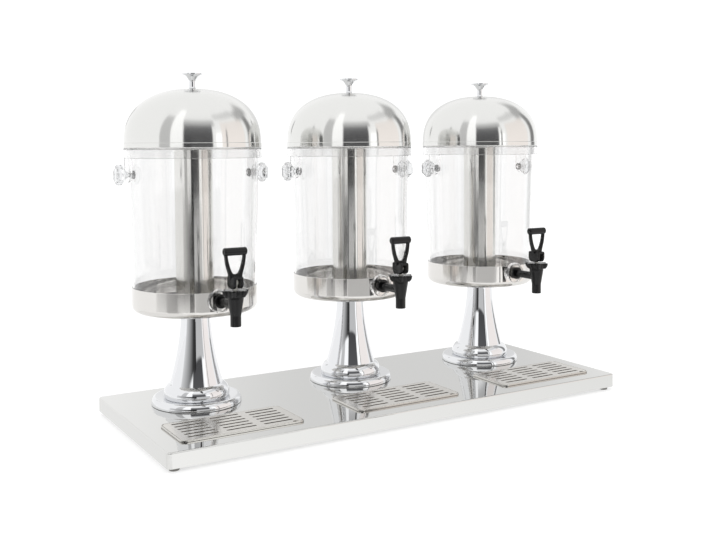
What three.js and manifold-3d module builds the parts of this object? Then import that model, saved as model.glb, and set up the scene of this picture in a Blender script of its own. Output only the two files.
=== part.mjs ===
// Three-tank drink dispenser: three clear tanks on chromed pedestals, in a row on one steel base.
// Millimetres, +Z up, +X along the row to the right, -Y to the front, where the taps are.
// The origin is the middle of the base, on the surface that the rubber feet stand on.
import * as THREE from "three";
import { mergeVertices } from "three/addons/utils/BufferGeometryUtils.js";
import Module from "manifold-3d";

const wasm = await Module();
wasm.setup();

// Fits that serve the whole object
const seatGap = 0.3; // between a piece and what it rests on
const cutOverrun = 3; // how far a cut runs past the face that it opens
const wideTurn = 20; // sides of a large turned piece
const smallTurn = 12; // sides of a small turned piece
const slimTurn = 8; // sides of bolts, screws and pins
const cornerSteps = 2; // flats that make up a round corner

// Base: a folded steel tray turned upside down, with an inward lip along its lower edge
const baseHeight = 24.4;
const baseWall = 1.5;
const baseCorner = 8;
const baseBend = 2.4;
const baseLip = 30;

// Rubber feet pushed into the lip
const footHeight = 6;
const footRadius = 8.4;
const footSole = 7.6; // radius on the ground, where the foot is a little narrower
const footInset = 15;
const footNeck = 3.6;
const footNeckClearance = 0.35;
const footBarb = 5;
const footBarbLength = 3.4;

// Room between and round the pieces that stand on the base: its length and width follow from them
const knobGap = 37; // between the side knobs of neighbouring tanks
const rowMargin = 136; // from either end of the base to the nearest tank's axis
const frontMargin = 33; // from the base's front edge to the drip pans
const pedestalGap = 30; // from the drip pans to the pedestals
const backMargin = 42; // from the pedestals to the base's back edge

// Drip pans and their grilles
const dripLength = 206;
const dripWidth = 99;
const dripCorner = 10;
const dripSheet = 1;
const dripRimHeight = 2.9;
const dripRimWidth = 2;
const dripFlange = 7; // from the pan's outer edge in to its bowl
const dripDepth = 17;
const dripClearance = 0.8; // between the bowl and the opening in the base
const grilleClearance = 0.5;
const grilleThickness = 1.4;
const slotWidth = 6;
const slotWeb = 11.5; // between the columns of slots
const slotEndMargin = 12.5; // from the grille's end to the first column
const slotFrontMargin = 13.5; // from the grille's front edge to the middle of the first row
const slotBackMargin = 9; // from the middle of the last row to the grille's back edge
const slotColumns = 3;
const slotRows = 6;
const notchRadius = 5;
const notchInset = 13.5;

// Pedestal: two rings and a trumpet-shaped column, hollow
const pedestalHeight = 158.2;
const pedestalWall = 2;
const lowerRingRadius = 76;
const lowerRingHeight = 12.2; // from the ring's foot up to its crown
const lowerRingBelly = 2.5; // from the ring's foot up to where it is widest
const lowerRingRound = 10; // from its widest place in to its crown
const grooveHeight = 10.3; // from the pedestal's foot up to the groove between the rings
const upperRingRadius = 55.5;
const upperRingHeight = 27;
const upperRingBelly = 6;
const upperRingTuck = 2.5; // how far the ring draws in below its belly
const upperRingCurve = 1.4; // exponent of the curve from its belly up to the column
const columnFootRadius = 42.5;
const columnTopRadius = 24.5;
const columnFlare = 1.6; // exponent of the trumpet curve
const pedestalCap = 2.5;

// Clamping bolt through pedestal and tank pan
const boltRadius = 4;
const boltClearance = 0.4;
const boltHeadRadius = 9;
const boltHeadHeight = 2.5;
const boltNutRadius = 8;
const boltNutHeight = 6.5;

// Steel pan that holds the tank's foot
const panHeight = 42;
const panWall = 1.2;
const panClearance = 1.2; // between the tank's foot and the pan's wall
const panBottomRound = 12;

// Clear tank
const tankFootRadius = 102.6;
const tankFlare = 6.6; // how much wider the tank is at its rim than at its foot
const tankHeight = 269.2;
const tankWall = 3;
const tankFloor = 6.5;
const tankFootRound = 13;
const boltRecessClearance = 0.7;

// Clear collar that stands on the tank's rim and carries the lid
const collarHeight = 16.7;
const collarWall = 3.2;
const collarClearance = 2; // between the tank's rim and the collar
const collarLedge = 2;
const collarLedgeWidth = 9;
const tabWidth = 32;
const tabWall = 3;
const tabDrop = 39; // from the collar's lower edge to the tip of a tab

// Clear side knobs: screws with a lobed head, turned by hand through the tabs
const knobDrop = 26.5; // from the collar's lower edge to the screw
const knobScrewRadius = 3;
const knobScrewClearance = 0.4;
const knobScrewInside = 7; // how far the screw reaches into the tank
const knobBossRadius = 7;
const knobBossLength = 6;
const knobHeadRadius = 17;
const knobHeadThickness = 13;
const knobBevel = 2.2;
const knobLobes = 6;
const knobLobeDepth = 2.2;
const knobLobeSteps = 4; // corners of the outline for each lobe

// Steel tube for ice, standing in the tank
const iceRadius = 32;
const iceWall = 1;
const iceHeight = 264.5;

// Domed steel lid
const lidInset = 0.6; // from the collar's outer face in to the lid's
const lidHeight = 98.4;
const lidWall = 1.2;
const lidBead = 0.8;
const lidBeadHeight = 8;
const lidRoundness = 2.35; // exponent of the dome's outline: 2 would be an ellipse
const lidSteps = 6; // flats from the rim to the top

// Trumpet knob on the lid
const lidKnobHeight = 26.9;
const lidKnobFoot = 6.2;
const lidKnobNeck = 5;
const lidKnobCone = 3; // height of the cone from foot to neck
const lidKnobStem = 14; // from the foot to where the neck flares
const lidKnobTop = 17;
const lidKnobEdge = 2.4;
const lidKnobCrown = 1.2;
const lidKnobStud = 3;
const lidKnobStudClearance = 0.4;
const lidKnobStudLength = 7;

// Tap, measured from the axis of its shank
const tapStandOff = 66; // from the tank pan's face to the outlet's axis
const shankRise = 28.8; // from the underside of the tank pan up to the shank's axis
const shankRadius = 7;
const shankBore = 4.5;
const shankClearance = 0.4;
const shankInside = 16; // how far the shank reaches in past the tank's outer face
const washerRadius = 19;
const washerThickness = 8.2;
const shankFlangeRadius = 11.5;
const shankFlangeThickness = 3.5;
const nutRadius = 13.2;
const nutThickness = 6.5;
const nutStandOff = 2.6; // room for the tank's curve behind the flat nut
const bodyRadius = 12.8;
const bodyRise = 22.6;
const bodyTaperTop = 12;
const bodyTaperEnd = -14;
const outletRadius = 8.5;
const outletDrop = 31;
const outletBore = 5.6;
const chamberRadius = 9.6;
const chamberFloor = -6;
const bonnetRadius = 18;
const bonnetClearance = 0.4;
const bonnetSkirt = 7.6;
const bonnetPlate = 2.8;
const bonnetEars = 6;
const bonnetEarReach = 22;
const bonnetEarWidth = 8;
const plugRadius = 8;
const plugHeight = 4.5;
const stemRadius = 3.2;
const stemClearance = 1.3;
const eyeRadius = 5;
const eyeThickness = 6;
const pivotRise = 12; // from the top of the bonnet to the lever's pivot
const pivotPinRadius = 2.2;
const pivotPinClearance = 0.3;
const leverFootWidth = 16;
const leverFootFlat = 6; // half of the foot's flat sole
const leverFootRound = 7.5;
const leverFootRise = 9.6; // from the pivot to the top of the foot
const leverSlotClearance = 0.8;
const leverThickness = 7;
const handleRise = 47.5; // from the pivot to the middle of the handle bar
const handleRadius = 6.2;
const handleHalfLength = 19;
const handleEndRound = 2.4;
const loopHalfWidth = 17.4;
const loopArm = 4.4;
const loopWaist = 10.6; // half of the width where the arms leave the foot
const loopFloor = 2.6; // from the top of the foot to the lowest point of the finger opening
const loopOverlap = 2; // how deep the arms are rooted in the foot

// Widths and places along the base that follow from the sizes above
const panRadius = tankFootRadius + panClearance + panWall;
const tankRimRadius = tankFootRadius + tankFlare;
const collarRadius = tankRimRadius + collarClearance + collarWall;
const lidRadius = collarRadius - lidInset;
const tapReach = panRadius + tapStandOff;
const knobSeat = collarRadius - collarWall + tabWall + seatGap;
const tankSpacing = 2 * (knobSeat + knobBossLength + knobHeadThickness) + knobGap;
const baseLength = 2 * (tankSpacing + rowMargin);
const baseWidth = frontMargin + dripWidth + pedestalGap + 2 * lowerRingRadius + backMargin;
const panSetback = frontMargin + dripWidth / 2 - baseWidth / 2;
const tankSetback = baseWidth / 2 - backMargin - lowerRingRadius;

// Heights that follow from the sizes above
const baseTop = footHeight + baseHeight;
const dripTop = baseTop + seatGap + dripRimHeight;
const pedestalBottom = baseTop + seatGap;
const pedestalTop = pedestalBottom + pedestalHeight;
const panBottom = pedestalTop + seatGap;
const panFloorTop = panBottom + panWall;
const tankBottom = panFloorTop + seatGap;
const tankFloorTop = tankBottom + tankFloor;
const tankRim = tankBottom + tankHeight;
const collarTop = tankRim + seatGap + collarLedge;
const collarBottom = collarTop - collarHeight;
const sideKnobHeight = collarBottom - knobDrop;
const lidBottom = collarTop + seatGap;
const lidTop = lidBottom + lidHeight;
const shankHeight = panBottom + shankRise;
const bonnetTop = shankHeight + bodyRise + seatGap + bonnetPlate;
const pivotHeight = bonnetTop + pivotRise;
const flangeReach = panRadius + seatGap + washerThickness + seatGap + shankFlangeThickness;
const shankEnd = panRadius - shankInside;
const tankWallInside = tankFootRadius - tankWall;

const finishes = {
  brushedSteel: new THREE.MeshStandardMaterial({ color: "#c9cac8", roughness: 0.25, metalness: 1 }),
  chrome: new THREE.MeshStandardMaterial({ color: "#dcdcdd", roughness: 0.06, metalness: 1 }),
  polishedSteel: new THREE.MeshStandardMaterial({ color: "#d2d0cc", roughness: 0.14, metalness: 1 }),
  clearPlastic: new THREE.MeshStandardMaterial({
    color: "#f1f3f3",
    roughness: 0.05,
    metalness: 0,
    transparent: true,
    opacity: 0.35,
  }),
  blackPlastic: new THREE.MeshStandardMaterial({ color: "#1d1d1e", roughness: 0.3, metalness: 0 }),
  rubber: new THREE.MeshStandardMaterial({ color: "#7a7975", roughness: 0.8, metalness: 0 }),
  silicone: new THREE.MeshStandardMaterial({ color: "#e4e2dc", roughness: 0.5, metalness: 0 }),
};

// A closed three.js geometry as a solid that can be cut and joined.
function solid(geometry) {
  const bare = geometry.clone();
  bare.deleteAttribute("normal");
  bare.deleteAttribute("uv");
  const merged = mergeVertices(bare);
  const vertProperties = new Float32Array(merged.attributes.position.array);
  const triVerts = new Uint32Array(merged.index.array);
  return new wasm.Manifold(new wasm.Mesh({ numProp: 3, vertProperties, triVerts }));
}

// A solid as a named mesh.
function piece(name, shape, finish) {
  const made = shape.getMesh();
  const geometry = new THREE.BufferGeometry();
  geometry.setAttribute("position", new THREE.BufferAttribute(made.vertProperties, made.numProp));
  geometry.setIndex(new THREE.BufferAttribute(made.triVerts, 1));
  geometry.computeVertexNormals();
  const mesh = new THREE.Mesh(geometry, finish);
  mesh.name = name;
  return mesh;
}

// A solid turned about the Z axis. Its outline is a list of [radius, height], anticlockwise.
function turned(outline, sides = smallTurn) {
  const points = outline.map(([radius, height]) => new THREE.Vector2(radius, height));
  const onAxis = outline[0][0] === 0;
  if (!onAxis) points.push(points[0].clone());
  const geometry = new THREE.LatheGeometry(points, sides);
  geometry.rotateX(Math.PI / 2);
  return solid(geometry);
}

// A rod or disc about the Z axis.
function rod(radius, bottom, top, sides = smallTurn) {
  return turned([[0, bottom], [radius, bottom], [radius, top], [0, top]], sides);
}

// Points of an ellipse's quarter or half, from one angle to another, as [radius, height].
function arc(centreRadius, centreHeight, reach, rise, from, to, steps) {
  const points = [];
  for (let i = 0; i <= steps; i += 1) {
    const angle = from + ((to - from) * i) / steps;
    points.push([centreRadius + reach * Math.cos(angle), centreHeight + rise * Math.sin(angle)]);
  }
  return points;
}

// A rectangle with round corners, in the plane of X and Y.
function roundedRectangle(length, width, corner) {
  const x = length / 2;
  const y = width / 2;
  const quarter = Math.PI / 2;
  const shape = new THREE.Shape();
  shape.absarc(x - corner, y - corner, corner, 0, quarter);
  shape.absarc(corner - x, y - corner, corner, quarter, 2 * quarter);
  shape.absarc(corner - x, corner - y, corner, 2 * quarter, 3 * quarter);
  shape.absarc(x - corner, corner - y, corner, 3 * quarter, 4 * quarter);
  return shape;
}

// A flat shape made into a plate from one height to another.
function plate(shape, bottom, top, curveSegments = cornerSteps) {
  const depth = top - bottom;
  const geometry = new THREE.ExtrudeGeometry(shape, { depth, curveSegments, bevelEnabled: false });
  geometry.translate(0, 0, bottom);
  return solid(geometry);
}

// Solids about the Z axis, laid down so that their axis runs along X or Y.
const alongX = (shape) => shape.rotate([0, 90, 0]);
const alongY = (shape) => shape.rotate([-90, 0, 0]);

function baseTray() {
  const corner = baseCorner - baseBend;
  const outline = roundedRectangle(baseLength - 2 * baseBend, baseWidth - 2 * baseBend, corner);
  const bent = new THREE.ExtrudeGeometry(outline, {
    depth: baseHeight - 2 * baseBend + cutOverrun,
    curveSegments: cornerSteps + 1,
    bevelEnabled: true,
    bevelSize: baseBend,
    bevelThickness: baseBend,
    bevelSegments: 2,
  });
  bent.translate(0, 0, footHeight + baseBend - cutOverrun);
  const block = roundedRectangle(baseLength + cutOverrun, baseWidth + cutOverrun, baseCorner);
  const trim = plate(block, footHeight, baseTop);
  const inside = roundedRectangle(baseLength - 2 * baseWall, baseWidth - 2 * baseWall, baseCorner - baseWall);
  const mouth = roundedRectangle(baseLength - 2 * baseLip, baseWidth - 2 * baseLip, baseCorner);
  let tray = solid(bent).intersect(trim);
  tray = tray.subtract(plate(inside, footHeight + baseWall, baseTop - baseWall));
  const lipCut = [footHeight - cutOverrun, footHeight + baseWall + cutOverrun];
  const topCut = [baseTop - baseWall - cutOverrun, baseTop + cutOverrun];
  tray = tray.subtract(plate(mouth, ...lipCut));
  const bowlHole = plate(bowlOutline(dripClearance), ...topCut);
  const boltHole = rod(boltRadius + boltClearance, ...topCut, slimTurn);
  for (const share of stationShares) {
    const x = share * tankSpacing;
    tray = tray.subtract(bowlHole.translate([x, panSetback, 0]));
    tray = tray.subtract(boltHole.translate([x, tankSetback, 0]));
  }
  const plugHole = rod(footNeck + footNeckClearance, ...lipCut, slimTurn);
  for (const [x, y] of footPlaces) tray = tray.subtract(plugHole.translate([x, y, 0]));
  return tray;
}

function foot() {
  const padTop = footHeight - seatGap;
  const barbBottom = footHeight + baseWall + seatGap;
  return turned([
    [0, 0],
    [footSole, 0],
    [footRadius, padTop],
    [footNeck, padTop],
    [footNeck, barbBottom],
    [footBarb, barbBottom],
    [footNeck, barbBottom + footBarbLength],
    [0, barbBottom + footBarbLength],
  ], slimTurn);
}

// Outer outline of the drip pan's bowl, widened by an allowance all round.
function bowlOutline(allowance) {
  const shrink = 2 * (dripFlange - allowance);
  return roundedRectangle(dripLength - shrink, dripWidth - shrink, dripCorner - dripFlange + allowance);
}

function dripPan() {
  const bottom = baseTop + seatGap;
  const flangeTop = bottom + dripSheet;
  const outer = roundedRectangle(dripLength, dripWidth, dripCorner);
  const rimInset = 2 * dripRimWidth;
  const seat = roundedRectangle(dripLength - rimInset, dripWidth - rimInset, dripCorner - dripRimWidth);
  const bowlBottom = bottom - dripDepth;
  let pan = plate(outer, bottom, dripTop);
  pan = pan.subtract(plate(seat, flangeTop, dripTop + cutOverrun));
  pan = pan.add(plate(bowlOutline(0), bowlBottom, flangeTop));
  return pan.subtract(plate(bowlOutline(-dripSheet), bowlBottom + dripSheet, flangeTop + cutOverrun));
}

function dripGrille() {
  const bottom = baseTop + 2 * seatGap + dripSheet;
  const top = bottom + grilleThickness;
  const inset = 2 * (dripRimWidth + grilleClearance);
  const length = dripLength - inset;
  const width = dripWidth - inset;
  const slotLength = (length - 2 * slotEndMargin - (slotColumns - 1) * slotWeb) / slotColumns;
  const slotPitch = (width - slotFrontMargin - slotBackMargin) / (slotRows - 1);
  let grille = plate(roundedRectangle(length, width, dripCorner - inset / 2), bottom, top);
  const slot = solid(new THREE.BoxGeometry(slotLength, slotWidth, cutOverrun)).translate([0, 0, bottom]);
  for (let column = 0; column < slotColumns; column += 1) {
    for (let row = 0; row < slotRows; row += 1) {
      const x = (column - (slotColumns - 1) / 2) * (slotLength + slotWeb);
      const y = slotFrontMargin - width / 2 + row * slotPitch;
      grille = grille.subtract(slot.translate([x, y, 0]));
    }
  }
  const notch = rod(notchRadius, bottom - cutOverrun, top + cutOverrun);
  return grille.subtract(notch.translate([length / 2 - notchInset, -width / 2, 0]));
}

// Radius of the trumpet column at a share of its height, 0 at its foot and 1 at its top.
function columnRadius(share) {
  return columnTopRadius + (columnFootRadius - columnTopRadius) * (1 - share) ** columnFlare;
}

function pedestal() {
  const half = Math.PI / 2;
  const groove = pedestalBottom + grooveHeight;
  const grooveRadius = upperRingRadius - upperRingTuck;
  const columnBottom = groove + upperRingHeight;
  const columnHeight = pedestalTop - columnBottom;
  const lowerBelly = pedestalBottom + lowerRingBelly;
  const upperBelly = groove + upperRingBelly;
  const upperReach = upperRingRadius - columnFootRadius;
  const lowerCrown = lowerRingHeight - lowerRingBelly;
  const upperCrown = upperRingHeight - upperRingBelly;
  const shoulderShares = [0.15, 0.4, 0.7];
  const shoulder = shoulderShares.map((t) => {
    const radius = columnFootRadius + upperReach * (1 - t ** upperRingCurve);
    return [radius, upperBelly + t * upperCrown];
  });
  const columnShares = [0, 0.15, 0.35, 0.65, 1];
  const outside = columnShares.map((t) => [columnRadius(t), columnBottom + t * columnHeight]);
  const innerShares = [0.65, 0.25, 0];
  const capBottom = pedestalTop - pedestalCap;
  const innerHeight = capBottom - columnBottom;
  const inside = innerShares.map((t) => [columnRadius(t) - pedestalWall, columnBottom + t * innerHeight]);
  return turned([
    ...arc(lowerRingRadius - lowerRingBelly, lowerBelly, lowerRingBelly, lowerRingBelly, -half, 0, 2),
    ...arc(lowerRingRadius - lowerRingRound, lowerBelly, lowerRingRound, lowerCrown, 0, half, 3).slice(1),
    ...arc(grooveRadius, upperBelly, upperRingTuck, upperRingBelly, -half, 0, 2),
    ...shoulder,
    ...outside,
    [boltRadius + boltClearance, pedestalTop],
    [boltRadius + boltClearance, capBottom],
    [columnTopRadius - pedestalWall, capBottom],
    ...inside,
    [columnFootRadius - pedestalWall, pedestalBottom],
  ], wideTurn);
}

function clampBolt() {
  const nutTop = baseTop - baseWall - seatGap;
  const nutBottom = nutTop - boltNutHeight;
  return turned([
    [0, nutBottom],
    [boltNutRadius, nutBottom],
    [boltNutRadius, nutTop],
    [boltRadius, nutTop],
    [boltRadius, panFloorTop + seatGap],
    [boltHeadRadius, panFloorTop + seatGap],
    [boltHeadRadius, panFloorTop + seatGap + boltHeadHeight],
    [0, panFloorTop + seatGap + boltHeadHeight],
  ], slimTurn);
}

// A hole for the tap's shank, through whatever wall it meets at the front.
function shankHole(radius) {
  const hole = alongY(rod(radius, 0, flangeReach));
  return hole.translate([0, -flangeReach, shankHeight]);
}

function tankPan() {
  const quarter = Math.PI / 2;
  const innerRound = panBottomRound - panWall;
  const corner = panRadius - panBottomRound;
  const rim = panBottom + panHeight;
  const pan = turned([
    [boltRadius + boltClearance, panBottom],
    ...arc(corner, panBottom + panBottomRound, panBottomRound, panBottomRound, -quarter, 0, 3),
    [panRadius, rim],
    [panRadius - panWall, rim],
    ...arc(corner, panBottom + panBottomRound, innerRound, innerRound, 0, -quarter, 2),
    [boltRadius + boltClearance, panFloorTop],
  ], wideTurn);
  return pan.subtract(shankHole(shankRadius + shankClearance));
}

function tank() {
  const quarter = Math.PI / 2;
  const corner = tankFootRadius - tankFootRound;
  const innerRound = tankFootRound - tankWall;
  const innerCorner = tankWallInside - innerRound;
  let shell = turned([
    [0, tankBottom],
    ...arc(corner, tankBottom + tankFootRound, tankFootRound, tankFootRound, -quarter, 0, 3),
    [tankRimRadius, tankRim],
    [tankRimRadius - tankWall, tankRim],
    ...arc(innerCorner, tankFloorTop + innerRound, innerRound, innerRound, 0, -quarter, 2),
    [0, tankFloorTop],
  ], wideTurn);
  const recessTop = tankBottom + boltHeadHeight + boltRecessClearance;
  shell = shell.subtract(rod(boltHeadRadius + boltClearance, tankBottom - cutOverrun, recessTop));
  shell = shell.subtract(shankHole(shankRadius + shankClearance));
  const screwHoles = rod(knobScrewRadius + knobScrewClearance, -collarRadius, collarRadius, slimTurn);
  return shell.subtract(alongX(screwHoles).translate([0, 0, sideKnobHeight]));
}

// The two tabs that hang from the collar, as one flat outline drawn in the plane of Y and Z.
function tabOutline() {
  const half = tabWidth / 2;
  const top = collarBottom + collarWall;
  const tipCentre = collarBottom - tabDrop + half;
  const shape = new THREE.Shape();
  shape.moveTo(half, top);
  shape.lineTo(-half, top);
  shape.absarc(0, tipCentre, half, Math.PI, 2 * Math.PI);
  shape.closePath();
  return shape;
}

function collar() {
  const inner = collarRadius - collarWall;
  const ring = turned([
    [inner, collarBottom],
    [collarRadius, collarBottom],
    [collarRadius, collarTop],
    [collarRadius - collarLedgeWidth, collarTop],
    [collarRadius - collarLedgeWidth, collarTop - collarLedge],
    [inner, collarTop - collarLedge],
  ], wideTurn);
  const sheet = new THREE.ExtrudeGeometry(tabOutline(), {
    depth: 2 * collarRadius,
    curveSegments: 6,
    bevelEnabled: false,
  });
  sheet.translate(0, 0, -collarRadius);
  sheet.rotateX(Math.PI / 2);
  sheet.rotateZ(Math.PI / 2);
  const skirt = turned([
    [inner, collarBottom - tabDrop],
    [inner + tabWall, collarBottom - tabDrop],
    [inner + tabWall, collarTop],
    [inner, collarTop],
  ], wideTurn);
  const tabs = solid(sheet).intersect(skirt);
  const screwHoles = rod(knobScrewRadius + knobScrewClearance, -2 * collarRadius, 2 * collarRadius, slimTurn);
  return ring.add(tabs).subtract(alongX(screwHoles).translate([0, 0, sideKnobHeight]));
}

// Outline of the lobed head of a side knob.
function lobedOutline() {
  const shape = new THREE.Shape();
  const steps = knobLobes * knobLobeSteps;
  const middle = knobHeadRadius - knobBevel - knobLobeDepth / 2;
  for (let i = 0; i < steps; i += 1) {
    const turn = (2 * Math.PI * i) / steps;
    const radius = middle + (knobLobeDepth / 2) * Math.cos(knobLobes * turn);
    const point = [radius * Math.cos(turn), radius * Math.sin(turn)];
    if (i === 0) shape.moveTo(...point);
    else shape.lineTo(...point);
  }
  shape.closePath();
  return shape;
}

// A side knob about the Z axis, with the tank's axis at height zero and its head upwards.
function sideKnob() {
  const headBottom = knobSeat + knobBossLength;
  const head = new THREE.ExtrudeGeometry(lobedOutline(), {
    depth: knobHeadThickness - 2 * knobBevel,
    bevelEnabled: true,
    bevelSize: knobBevel,
    bevelThickness: knobBevel,
    bevelSegments: 1,
  });
  head.translate(0, 0, headBottom + knobBevel);
  const screwEnd = tankRimRadius - tankWall - knobScrewInside;
  const shank = turned([
    [0, screwEnd],
    [knobScrewRadius, screwEnd],
    [knobScrewRadius, knobSeat],
    [knobBossRadius, knobSeat],
    [knobBossRadius, headBottom + knobBevel],
    [0, headBottom + knobBevel],
  ], slimTurn);
  return shank.add(solid(head));
}

function iceTube() {
  const bottom = tankFloorTop + seatGap;
  const top = bottom + iceHeight;
  return turned([
    [0, bottom],
    [iceRadius, bottom],
    [iceRadius, top],
    [iceRadius - iceWall, top],
    [iceRadius - iceWall, bottom + iceWall],
    [0, bottom + iceWall],
  ]);
}

// Half outline of the dome, from its rim to the hole at its top.
function domeOutline(radius, height, bottom, holeRadius) {
  const points = [];
  const power = 2 / lidRoundness;
  for (let i = 0; i < lidSteps; i += 1) {
    const angle = (Math.PI / 2) * (i / lidSteps);
    points.push([radius * Math.cos(angle) ** power, bottom + height * Math.sin(angle) ** power]);
  }
  points.push([holeRadius, bottom + height]);
  return points;
}

function lid() {
  const hole = lidKnobStud + lidKnobStudClearance;
  const domeBottom = lidBottom + lidBeadHeight;
  const domeHeight = lidTop - domeBottom;
  const outside = domeOutline(lidRadius, domeHeight, domeBottom, hole);
  const inside = domeOutline(lidRadius - lidWall, domeHeight - lidWall, domeBottom, hole);
  return turned([
    [lidRadius - lidWall, lidBottom],
    [lidRadius + lidBead, lidBottom],
    [lidRadius + lidBead, domeBottom],
    ...outside,
    ...inside.reverse(),
  ], wideTurn);
}

function lidKnob() {
  const bottom = lidTop + seatGap;
  const top = bottom + lidKnobHeight;
  const flare = top - lidKnobCrown - lidKnobEdge;
  return turned([
    [0, lidTop - lidKnobStudLength],
    [lidKnobStud, lidTop - lidKnobStudLength],
    [lidKnobStud, bottom],
    [lidKnobFoot, bottom],
    [lidKnobNeck, bottom + lidKnobCone],
    [lidKnobNeck, bottom + lidKnobStem],
    [(lidKnobNeck + lidKnobTop) / 2, flare - lidKnobEdge],
    [lidKnobTop, flare],
    [lidKnobTop, flare + lidKnobEdge],
    [0, top],
  ]);
}

// The tap's pieces stand about the outlet's axis, at height zero on the shank's axis.
function tapBody() {
  const length = tapReach - shankEnd;
  const flangeBack = tapReach - flangeReach + shankFlangeThickness;
  let body = rod(shankRadius, 0, length);
  body = body.add(rod(shankFlangeRadius, flangeBack - shankFlangeThickness, flangeBack));
  const barrel = turned([
    [0, -outletDrop],
    [outletRadius, -outletDrop],
    [outletRadius, bodyTaperEnd],
    [bodyRadius, bodyTaperTop],
    [bodyRadius, bodyRise],
    [0, bodyRise],
  ]);
  body = alongY(body).add(barrel);
  body = body.subtract(rod(chamberRadius, chamberFloor, bodyRise + cutOverrun));
  body = body.subtract(rod(outletBore, -outletDrop - cutOverrun, chamberFloor + cutOverrun));
  return body.subtract(alongY(rod(shankBore, 0, length + cutOverrun)));
}

// The washer's back follows the curve of the tank pan.
function tapWasher() {
  const outer = tapReach - flangeReach + shankFlangeThickness + seatGap;
  const inner = tapReach - panRadius + washerRadius;
  let washer = alongY(rod(washerRadius, outer, inner));
  washer = washer.subtract(alongY(rod(shankRadius + shankClearance, 0, inner + cutOverrun)));
  const panFace = rod(panRadius + seatGap, -panHeight, panHeight, wideTurn);
  return washer.subtract(panFace.translate([0, tapReach, 0]));
}

function tapNut() {
  const outer = tapReach - tankWallInside + nutStandOff;
  const nut = rod(nutRadius, outer, outer + nutThickness, 6);
  const bore = rod(shankRadius + shankClearance, outer - cutOverrun, outer + nutThickness + cutOverrun);
  return alongY(nut.subtract(bore));
}

function tapBonnet() {
  const plateBottom = bodyRise + seatGap;
  const top = plateBottom + bonnetPlate;
  const bottom = plateBottom - bonnetSkirt;
  let bonnet = rod(bonnetRadius, bottom, top);
  const ear = new THREE.BoxGeometry(2 * bonnetEarReach, bonnetEarWidth, top - bottom);
  ear.translate(0, 0, (top + bottom) / 2);
  const earPairs = bonnetEars / 2;
  for (let i = 0; i < earPairs; i += 1) {
    bonnet = bonnet.add(solid(ear).rotate([0, 0, (180 * i) / earPairs]));
  }
  bonnet = bonnet.subtract(rod(bodyRadius + bonnetClearance, bottom - cutOverrun, plateBottom));
  return bonnet.subtract(rod(stemRadius + stemClearance, bottom, top + cutOverrun));
}

function tapStem() {
  const bottom = chamberFloor + seatGap;
  const pivot = pivotHeight - shankHeight;
  let stem = turned([
    [0, bottom],
    [plugRadius, bottom],
    [plugRadius, bottom + plugHeight / 2],
    [stemRadius, bottom + plugHeight],
    [stemRadius, pivot - eyeRadius / 2],
    [0, pivot - eyeRadius / 2],
  ], slimTurn);
  const half = eyeThickness / 2;
  const eye = alongX(rod(eyeRadius, -half, half)).translate([0, 0, pivot]);
  const hole = alongX(rod(pivotPinRadius + pivotPinClearance, -eyeThickness, eyeThickness, slimTurn));
  return stem.add(eye).subtract(hole.translate([0, 0, pivot]));
}

// The lever's foot seen from the side: a flat sole between two round corners, pivot at height zero.
function leverFoot() {
  const half = Math.PI / 2;
  const sole = seatGap - pivotRise;
  const side = leverFootFlat + leverFootRound;
  const shape = new THREE.Shape();
  shape.moveTo(leverFootRise, -side);
  shape.lineTo(leverFootRise, side);
  shape.absarc(sole + leverFootRound, leverFootFlat, leverFootRound, half, 2 * half);
  shape.absarc(sole + leverFootRound, -leverFootFlat, leverFootRound, 2 * half, 3 * half);
  shape.closePath();
  const cheek = leverFootWidth / 2;
  return alongX(plate(shape, -cheek, cheek, cornerSteps + 1));
}

// The two arms between foot and handle, as one U seen from the front, pivot at height zero.
function leverLoop() {
  const foot = leverFootRise - loopOverlap;
  const floor = leverFootRise + loopFloor;
  const innerTop = loopHalfWidth - loopArm;
  const outsideShares = [[0, 0], [0.35, 0.5], [0.7, 0.86], [1, 1]];
  const insideShares = [[0, 0], [0.04, 0.3], [0.3, 0.68], [0.6, 0.9], [1, 1]];
  const widen = loopHalfWidth - loopWaist;
  const outside = outsideShares.map(([t, w]) => [loopWaist + w * widen, foot + t * (handleRise - foot)]);
  const inside = insideShares.map(([t, w]) => [w * innerTop, floor + t * (handleRise - floor)]);
  const right = [...outside, ...inside.reverse()];
  const left = right.map(([x, z]) => [-x, z]).reverse();
  const shape = new THREE.Shape();
  [...right, ...left.slice(1)].forEach(([x, z], i) => (i === 0 ? shape.moveTo(x, z) : shape.lineTo(x, z)));
  shape.closePath();
  const half = leverThickness / 2;
  return plate(shape, -half, half).rotate([90, 0, 0]);
}

function handleBar() {
  const end = handleHalfLength;
  const round = handleEndRound;
  const bar = turned([
    [0, -end],
    [handleRadius - round, -end],
    [handleRadius, round - end],
    [handleRadius, end - round],
    [handleRadius - round, end],
    [0, end],
  ]);
  return alongX(bar).translate([0, 0, handleRise]);
}

function tapLever() {
  const slotHalf = eyeThickness / 2 + leverSlotClearance;
  const reach = leverFootFlat + leverFootRound + cutOverrun;
  const slotTop = eyeRadius + leverSlotClearance;
  const slotBottom = -pivotRise - cutOverrun;
  const slotBox = new THREE.BoxGeometry(2 * slotHalf, 2 * reach, slotTop - slotBottom);
  slotBox.translate(0, 0, (slotTop + slotBottom) / 2);
  const pin = alongX(rod(pivotPinRadius, -leverFootWidth / 2, leverFootWidth / 2, slimTurn));
  const lever = leverFoot().subtract(solid(slotBox)).add(pin).add(leverLoop()).add(handleBar());
  return lever.translate([0, 0, pivotHeight - shankHeight]);
}

// The places of what repeats
const stationShares = [-1, 0, 1];
const stationNames = ["left", "middle", "right"];
const footX = baseLength / 2 - footInset;
const footY = baseWidth / 2 - footInset;
const footPlaces = [
  [-footX, -footY],
  [footX, -footY],
  [-footX, footY],
  [footX, footY],
];
const footNames = ["front_left", "front_right", "back_left", "back_right"];

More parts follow.
